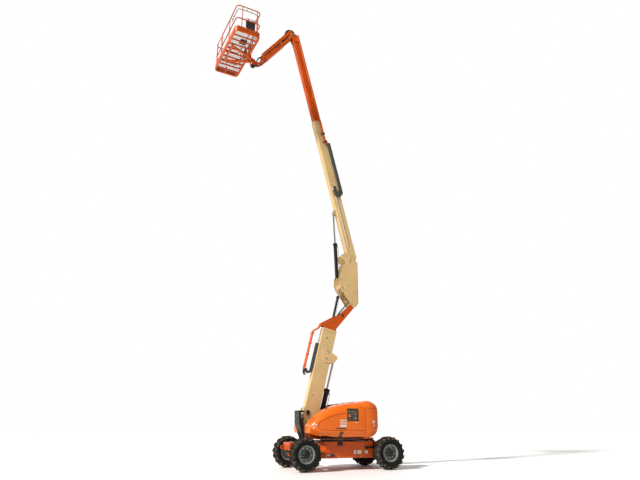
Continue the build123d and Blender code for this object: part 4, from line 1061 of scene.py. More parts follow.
@dataclass
class Turntable:
    """Covers' fittings, ground controls, tower mounts and guard."""

    panel_x: float = -0.138
    panel_z: float = 1.490
    panel_y: float = 0.940
    strap_low: float = 1.209
    guard_face: float = 1.269

    def ridge(self, skin: Skin, name: str, path: Sequence[tuple[float, float]], hand: float, radius: float,
              finish: Finish, body: str, slot: Slot) -> None:
        """Lay a rounded bead along a cover's side.

        Args:
            skin: The cover's surface.
            name: The bead's name.
            path: Its x and z.
            hand: Side of the machine.
            radius: Its radius.
            finish: Its finish.
            body: Its body.
            slot: Its slot.
        """
        flat = sweep([(x, 0.0, z) for x, z in path], 10)
        points = [skin.hit((p.x, hand * OUTSIDE, p.z), -LEFT * hand)[0] - LEFT * hand * radius * 0.35 for p in flat]
        Form().tube(points, radius, 10).done(name, finish, body, slot, smooth=60.0)

    def covers(self, kit: Kit) -> None:
        """Beads of painted crease shade, blank plates, latches and louvres of the two covers."""
        lower = ((-0.49, 1.065), (0.05, 1.075), (0.35, 1.07), (0.65, 1.075), (0.82, 1.10), (0.90, 1.17),
                 (0.885, 1.24), (0.80, 1.32), (0.62, 1.41), (0.42, 1.475), (0.20, 1.52), (0.06, 1.535))
        for side, hand in (("left", 1.0), ("right", -1.0)):
            skin = Skin(f"hood_{side}")
            body = f"{side}_hood"
            # the crease and brow beads are dark to paint the shade in the cover's creases
            self.ridge(skin, f"cover_crease_{side}", lower, hand, 0.006, Finish.CREASE_SHADE, body, Slot.MOULDING)
            self.ridge(skin, f"cover_brow_{side}", ((-0.51, 1.680), (-0.42, 1.684), (-0.33, 1.690)), hand,
                       0.005, Finish.CREASE_SHADE, body, Slot.MOULDING)
            # the tail's brow and seam beads are dark to paint the shade where the tail meets the cover
            tail = Skin("counterweight")
            self.ridge(tail, f"tail_brow_{side}", ((-0.535, 1.680), (-0.70, 1.672), (-0.85, 1.660)), hand, 0.005,
                       Finish.CREASE_SHADE, "turntable", Slot.CAST)
            self.ridge(tail, f"tail_seam_{side}", [(-0.529, z) for z in (0.98, 1.30, 1.60, 1.70)], hand, 0.006,
                       Finish.CREASE_SHADE, "turntable", Slot.CAST)
            blanks = Form()
            for x, z, w, h in ((0.160, 1.335, 0.20, 0.032), (0.160, 1.270, 0.20, 0.030), (0.160, 1.190, 0.20, 0.065),
                               (-0.24, 1.285, 0.13, 0.012), (0.965, 1.215, 0.055, 0.035),
                               (1.020, 1.145, 0.055, 0.035)):
                skin.plate(blanks, hand, x, z, w, h)
            blanks.done(f"cover_blank_plates_{side}", Finish.PALE, body, Slot.MOULDING)
            strip = Form()
            skin.plate(strip, hand, 0.23, 1.12, 0.34, 0.03)
            strip.done(f"cover_dark_plate_{side}", Finish.PLASTIC, body, Slot.MOULDING)
            latch = Form()
            for x, z, w, h, t in ((0.235, 0.955, 0.05, 0.10, 0.030), (0.217, 1.000, 0.075, 0.05, 0.045),
                                  (0.242, 0.905, 0.10, 0.025, 0.022)):
                skin.plate(latch, hand, x, z, w, h, t, 0.004)
            latch.done(f"cover_latch_{side}", Finish.PLASTIC, body, Slot.PANEL, 0.006)
            hinges = Form()
            for x in (-0.38, 0.10, 0.48):
                top, _ = skin.hit((x, hand * 0.36, 2.2), -UP)
                hinges.rod(top + Vector((-0.045, -hand * 0.03, 0.002)),
                           top + Vector((0.045, -hand * 0.03, 0.002)), 0.009)
                hinges.slab((x - 0.045, min(hand * 0.33, hand * 0.41), top.z - 0.004),
                            (x + 0.045, max(hand * 0.33, hand * 0.41), top.z + 0.004))
            hinges.done(f"cover_hinges_{side}", Finish.BLACK, body, Slot.BLACK, 0.001)
        skin = Skin("hood_right")
        y = skin.hit((-0.15, -OUTSIDE, 1.42), LEFT)[0].y
        kit.slats.grow("engine_louvres", bpy.data.meshes.new("none"), Finish.PLASTIC, "right_hood", Slot.MOULDING,
                       Count=12, Start=(-0.36, y - 0.004, 1.20), Step=(0.0, 0.0, 0.028), Turn=(0.5, 0.0, 0.0),
                       Bar=(0.30, 0.028, 0.006))
        surround = Form()
        for x0, x1, z0, z1 in ((-0.53, -0.19, 1.165, 1.18), (-0.53, -0.19, 1.53, 1.545), (-0.53, -0.515, 1.18, 1.53),
                               (-0.205, -0.19, 1.18, 1.53)):
            surround.slab((x0 + 0.02, y - 0.016, z0), (x1 + 0.0, y + 0.010, z1))
        surround.done("louvre_frame", Finish.PLASTIC, "right_hood", Slot.MOULDING, 0.003)

    def controls(self) -> None:
        """Ground control panel's face."""
        x, z, y = self.panel_x, self.panel_z, self.panel_y
        plate = Form().slab((x - 0.162, y, z - 0.157), (x + 0.162, y + 0.004, z + 0.157))
        plate.done("panel_face", Finish.PLASTIC, "turntable", Slot.PANEL, 0.0015)
        marks = Form()
        for dx, dz, w, h in ((0.115, 0.095, 0.05, 0.006), (0.02, 0.105, 0.07, 0.006), (-0.08, 0.105, 0.05, 0.006),
                             (0.02, 0.05, 0.006, 0.05), (-0.06, 0.03, 0.006, 0.06), (0.115, 0.03, 0.045, 0.006),
                             (-0.115, 0.04, 0.045, 0.006), (0.06, -0.05, 0.07, 0.006), (-0.09, -0.04, 0.006, 0.05),
                             (0.1, -0.12, 0.05, 0.006), (-0.02, -0.12, 0.08, 0.006), (-0.12, -0.1, 0.006, 0.04)):
            marks.slab((x + dx - w / 2, y + 0.004, z + dz - h / 2), (x + dx + w / 2, y + 0.0052, z + dz + h / 2))
        marks.turned((x + 0.095, y + 0.004, z - 0.03), LEFT, ((0, 0.034), (0.003, 0.034)), 24)
        marks.done("panel_marks", Finish.YELLOW, "turntable", Slot.PANEL)
        stop = Form().turned((x + 0.095, y + 0.006, z - 0.03), LEFT,
                             ((0, 0.014), (0.014, 0.014), (0.015, 0.024), (0.024, 0.026), (0.029, 0.020)), 24)
        stop.done("panel_stop", Finish.RED, "turntable", Slot.PANEL)
        toggles = Form()
        for dx in (-0.12, -0.07, -0.02, 0.03, 0.08, 0.125):
            for dz in (0.075, 0.005):
                if dx > 0.05 and dz < 0.05:
                    continue
                base = Vector((x + dx, y + 0.004, z + dz))
                toggles.rod(base, base + LEFT * 0.008, 0.008, 12)
                toggles.rod(base + LEFT * 0.006, base + LEFT * 0.026 + UP * 0.006, 0.003, 8)
        toggles.turned((x - 0.095, y + 0.004, z - 0.095), LEFT, ((0, 0.026), (0.008, 0.026), (0.010, 0.022)), 24)
        toggles.turned((x - 0.02, y + 0.004, z - 0.075), LEFT, ((0, 0.015), (0.012, 0.015), (0.014, 0.010)), 16)
        toggles.done("panel_switches", Finish.STEEL, "turntable", Slot.STEEL)

    def mounts(self, kit: Kit) -> None:
        """Pin caps, screws, front guard straps, the tail's brow and blank plates, and the deck's edge."""
        caps = Form()
        for side in SIDES:
            caps.turned((LOWER.x, side * 0.173, LOWER.z), LEFT * side,
                        ((0, 0.060), (0.006, 0.060), (0.010, 0.052)), 28)
            caps.slab((LOWER.x - 0.030, min(side * 0.161, side * 0.175), LOWER.z - 0.100),
                      (LOWER.x + 0.030, max(side * 0.161, side * 0.175), LOWER.z - 0.048))
        caps.done("tower_pin_caps", Finish.BLACK, "turntable", Slot.BLACK, 0.002)
        kit.bolts("tower_mount_screws", both_sides([Vector((LOWER.x, 0, LOWER.z - 0.082)), Vector((0.70, 0, 1.45)),
                                                    Vector((1.045, 0, 1.30)), Vector((1.055, 0, 1.62))], 0.162),
                  "turntable", 0.011)
        straps = Form()
        for z in (1.30, 1.45, 1.575):
            straps.slab((self.strap_low, -0.236, z), (self.guard_face, 0.236, z + 0.030))
        straps.slab((1.207, -0.233, 1.598), (1.267, 0.233, 1.619))
        straps.done("guard_straps", Finish.BLACK, "turntable", Slot.BLACK, 0.004)
        kit.bolts("guard_screws", [(Vector((self.guard_face, y, z)), Vector((1, 0, 0))) for y in (-0.19, 0.0, 0.19)
                                   for z in (1.315, 1.465)], "turntable", 0.010)
        skin = Skin("counterweight")
        seams = Form()
        for hand in (1.0, -1.0):
            flat = sweep(((-0.53, 0, 1.640), (-0.70, 0, 1.640), (-0.88, 0, 1.630)), 6)
            points = [skin.hit((p.x, hand * OUTSIDE, p.z), -LEFT * hand)[0] - LEFT * hand * 0.003 for p in flat]
            seams.tube(points, 0.008, 8)
        seams.done("tail_brow", Finish.HOOD, "turntable", Slot.CAST, smooth=60.0)
        blanks = Form()
        for hand in (1.0, -1.0):
            for x, z, w, h in ((-0.80, 1.30, 0.09, 0.075), (-0.82, 1.20, 0.045, 0.045)):
                skin.plate(blanks, hand, x, z, w, h)
        blanks.done("tail_blank_plates", Finish.PALE, "turntable", Slot.CAST)
        flange = Form()
        flange.slab((-0.50, -0.806, 0.838), (0.848, -0.796, 0.872))
        flange.slab((-0.50, 0.796, 0.838), (0.848, 0.806, 0.872))
        flange.done("deck_edge", Finish.BLACK, "turntable", Slot.BLACK, 0.003)

    def dress(self, kit: Kit) -> None:
        """Build the turntable's fittings."""
        self.covers(kit)
        self.controls()
        self.mounts(kit)
        log.info("turntable dressed")


@dataclass
class Ram:
    """A hydraulic cylinder's fittings: gland, port, pipe and pin caps."""

    name: str
    base: Point
    tip: Point
    barrel: float
    radius: float
    barrel_body: str
    base_half: float

    def dress(self) -> None:
        """Build the gland ring, ports, transfer pipe and pin caps."""
        base, tip = Vector(self.base), Vector(self.tip)
        head = (tip - base).normalized()
        side = head.cross(LEFT).normalized()
        r = self.radius
        form = Form()
        form.turned(base + head * (self.barrel - r * 0.9), head,
                    ((0, r * 1.26), (r * 0.12, r * 1.30), (r * 0.55, r * 1.30), (r * 0.66, r * 1.24)), 28)
        for place in (r * 2.0, self.barrel - r * 1.6):
            form.box(base + head * place + side * r * 0.95, head * r * 0.38, side * r * 0.40, LEFT * r * 0.38)
        form.done(f"{self.name}_gland", Finish.BLACK, self.barrel_body, Slot.BLACK, 0.002)
        pipe = Form()
        a, b = base + head * r * 2.0, base + head * (self.barrel - r * 1.6)
        lift = side * r * 1.62
        pipe.tube(sweep((a + side * r * 1.2, a + lift + head * r * 0.5, a + lift + head * r * 1.6,
                         b + lift - head * r * 1.6, b + lift - head * r * 0.5, b + side * r * 1.2), 6), r * 0.13, 10)
        pipe.done(f"{self.name}_pipe", Finish.STEEL, self.barrel_body, Slot.STEEL)
        caps = Form()
        for hand in SIDES:
            start = base + LEFT * hand * self.base_half
            caps.turned(start, LEFT * hand, ((0, r * 0.45), (0.005, r * 0.45), (0.008, r * 0.38)), 20)
        caps.done(f"{self.name}_base_caps", Finish.STEEL, self.barrel_body, Slot.STEEL)
        wiper = Form().turned(base + head * (self.barrel - r * 0.05), head,
                              ((0, r * 0.86), (0.006, r * 0.86), (0.012, r * 0.70)), 24)
        wiper.done(f"{self.name}_wiper", Finish.PLASTIC, self.barrel_body, Slot.PANEL)


@dataclass
class Tower:
    """Fittings of the tower, its head and hose carrier."""

    half: float = 0.125
    end: float = 2.610
    low: float = -0.109
    high: float = 0.361

    def dress(self, kit: Kit) -> None:
        """Build the tower's fittings."""
        pads = [LOWER.at(s, o) for s in (self.end - 0.065, self.end - 0.025) for o in (-0.03, 0.06, 0.19, 0.28)]
        kit.bolts("tower_pad_screws", both_sides(pads, self.half), "lower_tower", 0.010)
        lip = Form()
        for hand in SIDES:
            for s0, s1, t in ((self.end - 0.088, self.end, 0.008),):
                corners = [LOWER.at(s, o, hand * self.half) for s, o in
                           ((s0, self.low + 0.012), (s1, self.low + 0.012), (s1, self.high - 0.012),
                            (s0, self.high - 0.012))]
                lip.prism(corners, LEFT * hand * t)
        lip.done("tower_lip", Finish.CREAM, "lower_tower", Slot.CREAM, 0.002)
        bosses = Form()
        for hand in SIDES:
            for x, z, r in ((0.322, 3.361, 0.034), (0.383, 3.154, 0.034)):
                bosses.turned((x, hand * 0.140, z), LEFT * hand, ((0, r), (0.010, r), (0.014, r * 0.8)), 20)
        bosses.done("tower_bracket_bosses", Finish.STEEL, "lower_tower", Slot.STEEL)
        hole = Form()
        for hand in SIDES:
            hole.turned((0.335, hand * 0.1245, 3.80), LEFT * hand, ((0, 0.022), (0.0015, 0.022)), 20)
            hole.turned((0.80, hand * 0.1245, 2.05), LEFT * hand, ((0, 0.018), (0.0015, 0.018)), 20)
        hole.done("tower_sight_plugs", Finish.PLASTIC, "lower_tower", Slot.PANEL)
        seam = Form()
        for out in (self.low + 0.002, self.high - 0.002):
            for hand in SIDES:
                points = [LOWER.at(s, out - math.copysign(0.010, out), hand * (self.half - 0.002))
                          for s in (0.10, 1.0, 1.9, 2.5)]
                seam.tube(points, 0.004, 6)
        seam.done("tower_corner_welds", Finish.CREAM, "lower_tower", Slot.CREAM, smooth=80.0)
        self.track(kit)
        self.head(kit)
        Ram("lower_ram", (0.620, 0.0, 1.000), (0.070, 0.0, 3.181), 1.288, 0.075, "lower_lift_barrel",
            0.079).dress()
        hose = Form()
        for y in (-0.035, 0.035):
            hose.tube(sweep(((0.52, y, 0.90), (0.47, y, 1.10), (0.435, y, 1.42), (0.395, y, 1.58))), 0.011)
        hose.done("lower_ram_hoses", Finish.HOSE, "turntable", Slot.HOSE)
        log.info("tower dressed")

    def track(self, kit: Kit) -> None:
        """Links of the hose track in front of the tower."""
        upper = [LOWER.at(2.08, -0.160), LOWER.at(1.235, -0.160)]
        bend = [LOWER.at(1.235 - 0.085 * math.sin(a), -0.245 + 0.085 * math.cos(a))
                for a in (math.pi * k / 10 for k in range(1, 11))]
        kit.ribs.grow("tower_track_links", seed_line("tower_track", upper + bend), Finish.TRACK, "lower_track",
                      Slot.TRACK, Pitch=0.040, Wide=0.128, Deep=0.066, Thick=0.016)

    def head(self, kit: Kit) -> None:
        """Clamps and hoses of the carrier, slot plate, screws and hose bundle of the head."""
        clamps = Form()
        for s in (1.30, 1.66, 2.02, 2.34):
            clamps.box(LOWER.at(s, -0.385), LOWER.along * 0.016, LOWER.out * 0.030, LEFT * 0.092)
        clamps.done("carrier_clamps", Finish.ORANGE, "upper_tower", Slot.ORANGE, 0.003)
        hoses = Form()
        for k, y in enumerate((-0.06, 0.0, 0.06)):
            hoses.tube(sweep((LOWER.at(1.24, -0.385, y), LOWER.at(1.16, -0.380, y), LOWER.at(1.075, -0.345, y),
                              LOWER.at(1.06, -0.30, y * 0.8)), 8), 0.014)
        hoses.done("carrier_hoses", Finish.HOSE, "upper_tower", Slot.HOSE)
        slot_plate = Form()
        for hand in SIDES:
            y = hand * 0.1025
            slot_plate.turned((-0.211, y, 4.560), LEFT * hand, ((0, 0.045), (0.002, 0.045)), 24)
            slot_plate.slab((-0.228, min(y, y + hand * 0.002), 4.47), (-0.194, max(y, y + hand * 0.002), 4.56))
        slot_plate.done("head_key_slot", Finish.PLASTIC, "upper_tower", Slot.PANEL)
        kit.bolts("head_screws", both_sides([Vector((0.02, 0, 4.22)), Vector((0.15, 0, 4.38)), Vector((0.36, 0, 4.28)),
                                             Vector((-0.45, 0, 4.80))], 0.103), "upper_tower", 0.012)
        bundle = Form()
        for k, y in enumerate((-0.055, -0.018, 0.018, 0.055)):
            bundle.tube(sweep(((0.10, y, 4.30), (-0.02, y, 4.48), (-0.14, y, 4.66), (-0.30, y, 4.84),
                               (-0.42, y, 4.98 + 0.01 * k)), 8), 0.014)
        bundle.done("head_hoses", Finish.HOSE, "upper_tower", Slot.HOSE)


@dataclass
class Upright:
    """Fittings of the upright between the head and the main boom."""

    half: float = 0.235

    def dress(self, kit: Kit) -> None:
        """Build the upright's fittings."""
        caps = Form()
        for hand in SIDES:
            for x, z, r in ((-0.595, 4.898, 0.062), (-0.415, 6.451, 0.058)):
                caps.turned((x, hand * 0.243, z), LEFT * hand, ((0, r), (0.006, r), (0.010, r * 0.86)), 28)
            caps.box((-0.505, hand * 0.239, 4.93), Vector((0.045, 0, 0)), LEFT * 0.004, UP * 0.022)
            caps.box((-0.415, hand * 0.239, 6.365), Vector((0.022, 0, 0)), LEFT * 0.004, UP * 0.045)
        caps.done("upright_pin_caps", Finish.CREAM, "upright", Slot.CREAM, 0.0015)
        spots = [Vector((x, 0, z)) for x, z in ((-0.084, 5.765), (-0.167, 5.445), (-0.368, 5.540), (-0.49, 4.93),
                                                (-0.415, 6.345), (-0.30, 6.55), (-0.62, 5.3))]
        kit.bolts("upright_screws", both_sides(spots, self.half + 0.0005), "upright", 0.013)
        edges = Form()
        for hand in SIDES:
            y = hand * (self.half - 0.008)
            edges.box((-0.7115, y, 5.66), Vector((0.003, 0, 0)), LEFT * 0.012, UP * 0.69)
        edges.done("upright_rear_edges", Finish.BLACK, "upright", Slot.BLACK, 0.001)
        welds = Form()
        for hand in SIDES:
            y = hand * (self.half + 0.001)
            welds.tube([Vector((-0.686, y, z)) for z in (5.06, 5.3, 5.6, 5.89)], 0.0035, 6)
            welds.turned((-0.300, hand * (self.half - 0.0005), 6.43), LEFT * hand, ((0, 0.020), (0.0015, 0.020)), 20)
        welds.done("upright_welds", Finish.CREAM, "upright", Slot.CREAM, smooth=80.0)
        lug = Form()
        for hand in SIDES:
            lug.turned((MAIN_RAM_BASE[0], hand * 0.090, MAIN_RAM_BASE[2]), LEFT * hand, ((0, 0.040), (0.012, 0.040), (0.016, 0.033)), 24)
        lug.done("main_ram_pin_caps", Finish.BRASS, "upright", Slot.STEEL)
        riser = Form()
        for k in range(5):
            y = -0.10 + 0.045 * k
            riser.tube(sweep(((-0.50, y, 5.02), (-0.62, y, 5.22), (-0.655, y, 5.55), (-0.66, y, 5.95),
                              (-0.68, y, 6.20 + 0.01 * k), (-0.685, y, 6.34)), 8), 0.013)
        riser.done("upright_hoses", Finish.HOSE, "upright", Slot.HOSE)
        clips = Form()
        for z in (5.35, 5.75, 6.12):
            clips.slab((-0.686, -0.135, z), (-0.640, 0.115, z + 0.03))
        clips.done("upright_hose_clips", Finish.STEEL, "upright", Slot.STEEL, 0.003)
        bundle = Form()
        for k in range(5):
            y = -0.10 + 0.045 * k
            bundle.tube(sweep(((-0.685, y, 6.33), (-0.700, y, 6.48), (-0.640, y, 6.64 + 0.006 * k),
                               (-0.53, y, 6.745 + 0.004 * k), UPPER.at(0.42, 0.20, y), UPPER.at(0.55, 0.12, y)), 10),
                        0.013)
        loop = bundle.done("root_hose_loop", Finish.HOSE, "upright", Slot.HOSE)
        loop.parent = None
        tuple(UPPER.at(0.36, 0.22))
        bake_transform(loop)
        Ram("main_ram", MAIN_RAM_BASE, tuple(UPPER.at(*MAIN_RAM_LUG)), 1.276, 0.060, "main_cylinder_barrel",
            0.062).dress()
        Ram("level_ram", (0.100, -0.163, 4.150), (-0.415, -0.163, 6.350), 1.110, 0.040, "leveller_barrel",
            0.022).dress()
        log.info("upright dressed")


@dataclass
class MainBoom:
    """Fittings of the main boom: track links, clamps, side rail, screws, nose hoses."""

    half: float = 0.120
    end: float = 5.300
    track_y: float = 0.195
    nose: float = NOSE_ALONG

    def dress(self, kit: Kit) -> None:
        """Build the main boom's fittings."""
        low, high, bend = 0.150, 0.360, 2.405
        path = [UPPER.at(2.640, low, self.track_y), UPPER.at(bend, low, self.track_y)]
        path += [UPPER.at(bend - 0.105 * math.sin(a), 0.255 - 0.105 * math.cos(a), self.track_y)
                 for a in (math.pi * k / 12 for k in range(1, 13))]
        path += [UPPER.at(4.310, high, self.track_y)]
        kit.ribs.grow("main_track_links", seed_line("main_track", path), Finish.TRACK, "upper_track", Slot.TRACK,
                      Pitch=0.046, Wide=0.108, Deep=0.088, Thick=0.020)
        clamps = Form()
        for s in (4.40, 4.72):
            clamps.box(UPPER.at(s, 0.250, self.track_y), UPPER.along * 0.030, UPPER.out * 0.052, LEFT * 0.050)
        clamps.done("push_tube_clamps", Finish.PLASTIC, "main_extension", Slot.PANEL, 0.006)
        bracket = Form()
        bracket.box(UPPER.at(2.61, 0.150, 0.150), UPPER.along * 0.055, UPPER.out * 0.050, LEFT * 0.028)
        bracket.box(UPPER.at(2.61, 0.202, 0.175), UPPER.along * 0.045, UPPER.out * 0.006, LEFT * 0.070)
        bracket.done("track_bracket", Finish.PALE, "main_boom", Slot.CREAM, 0.003)
        rail = Form()
        rail.tube([UPPER.at(s, 0.150, 0.134) for s in (0.50, 1.2, 1.9, 2.56)], 0.011, 10)
        for s in (0.55, 1.2, 1.85, 2.45):
            rail.box(UPPER.at(s, 0.150, 0.126), UPPER.along * 0.018, UPPER.out * 0.018, LEFT * 0.008)
        rail.done("boom_side_conduit", Finish.PALE, "main_boom", Slot.CREAM)
        pads = [UPPER.at(s, o) for s in (self.end - 0.05, self.end - 0.02) for o in (0.085, 0.15, 0.24, 0.305)]
        kit.bolts("boom_pad_screws", both_sides(pads, self.half), "main_boom", 0.008)
        collar = Form()
        for hand in SIDES:
            corners = [UPPER.at(s, o, hand * self.half) for s, o in
                       ((self.end - 0.075, 0.056), (self.end, 0.056), (self.end, 0.332), (self.end - 0.075, 0.332))]
            collar.prism(corners, LEFT * hand * 0.006)
        collar.done("boom_collar", Finish.CREAM, "main_boom", Slot.CREAM, 0.0015)
        small = [UPPER.at(s, 0.30) for s in (0.9, 1.8, 2.9, 3.6, 4.4)]
        small += [UPPER.at(s, 0.10) for s in (3.2, 4.2, 5.0)]
        kit.bolts("boom_side_screws", both_sides(small, self.half + 0.0005), "main_boom", 0.007)
        feet = Form()
        for hand in SIDES:
            for s in (1.70, 1.80):
                feet.box(UPPER.at(s, 0.055, hand * 0.055), UPPER.along * 0.030, UPPER.out * 0.010, LEFT * 0.016)
            feet.turned(UPPER.at(*MAIN_RAM_LUG, hand * 0.064), LEFT * hand,
                        ((0, 0.036), (0.010, 0.036), (0.014, 0.03)), 24)
        feet.done("boom_lug_caps", Finish.STEEL, "main_boom", Slot.STEEL, 0.001)
        self.nose_fittings(kit)
        log.info("main boom dressed")

    def nose_fittings(self, kit: Kit) -> None:
        """Screws, push tube saddles and the hose loop over the boom's nose."""
        screws = [UPPER.at(s, o) for s, o in ((self.nose - 0.27, 0.12), (self.nose - 0.27, 0.28),
                                              (self.nose - 0.12, 0.26))]
        kit.bolts("nose_screws", both_sides(screws, 0.1125), "main_extension", 0.010)
        tube_end = Form()
        tube_end.turned(UPPER.at(self.nose - 0.128, 0.250, self.track_y), UPPER.along,
                        ((0, 0.040), (0.010, 0.040), (0.020, 0.030)), 20)
        for s in (5.6, 6.6, 7.6):
            tube_end.box(UPPER.at(s, 0.250, 0.150), UPPER.along * 0.020, UPPER.out * 0.030, LEFT * 0.046)
        tube_end.done("push_tube_saddles", Finish.ORANGE, "main_extension", Slot.ORANGE, 0.002)
        hoses = Form()
        for k, y in enumerate((0.060, 0.030, 0.0, -0.030, -0.060)):
            hoses.tube(sweep((UPPER.at(self.nose - 0.05, 0.17, y), UPPER.at(self.nose + 0.13, 0.185 + 0.005 * k, y),
                              UPPER.at(self.nose + 0.235, 0.09, y), UPPER.at(self.nose + 0.215, -0.07, y),
                              UPPER.at(self.nose + 0.11, -0.17, y)), 10), 0.0145)
        loop = hoses.done("nose_hose_loop", Finish.HOSE, "main_extension", Slot.HOSE)
        loop.parent = None
        tuple(UPPER.at(self.nose + 0.02, 0.16))
        tuple(UPPER.at(self.nose + 0.20, -0.08))
        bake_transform(loop)


@dataclass
class Jib:
    """Fittings of the jib: pin caps, hoses, rotator motor."""

    length: float = 1.700
    root_half: float = 0.093
    rotator: float = 3.130

    def caps(self, name: str, beam: Beam, along: float, body: str) -> None:
        """Pin caps at one joint."""
        form = Form()
        centre = beam.at(along, 0.0)
        for hand in SIDES:
            form.turned(centre + LEFT * hand * self.root_half, LEFT * hand,
                        ((0, 0.040), (0.005, 0.040), (0.008, 0.034)), 22)
        form.done(name, Finish.STEEL, body, Slot.STEEL)

    def dress(self, kit: Kit) -> None:
        """Build the jib's fittings."""
        for name, beam, along, body in (("jib_root_cap", ARM, 0.0, "jib_bracket"),
                                        ("stay_root_cap", STAY, 0.0, "jib_bracket"),
                                        ("jib_end_cap", ARM, self.length, "jib_nose"),
                                        ("stay_end_cap", STAY, self.length, "jib_nose")):
            self.caps(name, beam, along, body)
        nose = Form()
        for hand in SIDES:
            centre = UPPER.at(NOSE_ALONG, 0.079, hand * 0.124)
            nose.turned(centre, LEFT * hand, ((0, 0.050), (0.005, 0.050), (0.009, 0.043)), 24)
        nose.done("nose_pin_cap", Finish.STEEL, "jib_bracket", Slot.STEEL)
        hoses = Form()
        for k, y in enumerate((-0.030, 0.005, 0.040)):
            spread = y + 0.055 * (1 if y > 0 else -1)
            hoses.tube(sweep((ARM.at(0.46, 0.088 + 0.002 * k, y), ARM.at(0.70, 0.100, spread),
                              ARM.at(1.05, 0.096, y), ARM.at(1.38, 0.094, y)), 8), 0.011)
        hoses.done("jib_hoses", Finish.HOSE, "jib_beam", Slot.HOSE)
        clips = Form()
        for s in (0.52, 1.00, 1.36):
            clips.box(ARM.at(s, 0.094), ARM.along * 0.014, ARM.out * 0.021, LEFT * 0.060)
        clips.done("jib_hose_clips", Finish.STEEL, "jib_beam", Slot.STEEL, 0.002)
        sleeves = Form()
        x, z = ARM.at(self.length, 0.0).x, ARM.at(self.length, 0.0).z
        for k, y in enumerate((-0.052, -0.018, 0.018, 0.052)):
            route = ((-0.020, 0.240), (0.075, 0.225 - 0.01 * k), (0.150, 0.13), (0.195, 0.02), (0.250, -0.085))
            sleeves.tube(sweep([(x + dx, y, z + dz) for dx, dz in route], 8), 0.013)
        sleeves.done("rotator_hoses", Finish.HOSE, "jib_nose", Slot.HOSE)
        motor = Form()
        motor.turned((self.rotator, 0.0, 13.498), -UP, ((0, 0.086), (0.020, 0.086), (0.032, 0.072), (0.060, 0.070),
                                                       (0.068, 0.055)), 28)
        motor.slab((self.rotator - 0.155, -0.045, 13.512), (self.rotator - 0.085, 0.045, 13.60))
        motor.done("rotator_motor", Finish.BLACK, "jib_nose", Slot.BLACK)
        kit.bolts("rotator_screws", circle(Vector((self.rotator, 0, 13.499)), -UP, 0.092, 10), "jib_nose", 0.006)
        spots = [Vector((x + 0.10, 0, z + 0.02)), Vector((x + 0.16, 0, z - 0.04))]
        kit.bolts("jib_nose_screws", both_sides(spots, 0.0935), "jib_nose", 0.009)
        Ram("jib_ram", (1.687, 0.0, 15.269), tuple(ARM.at(0.750, 0.150)), 0.540, 0.034, "jib_cylinder_barrel",
            0.040).dress()
        log.info("jib dressed")


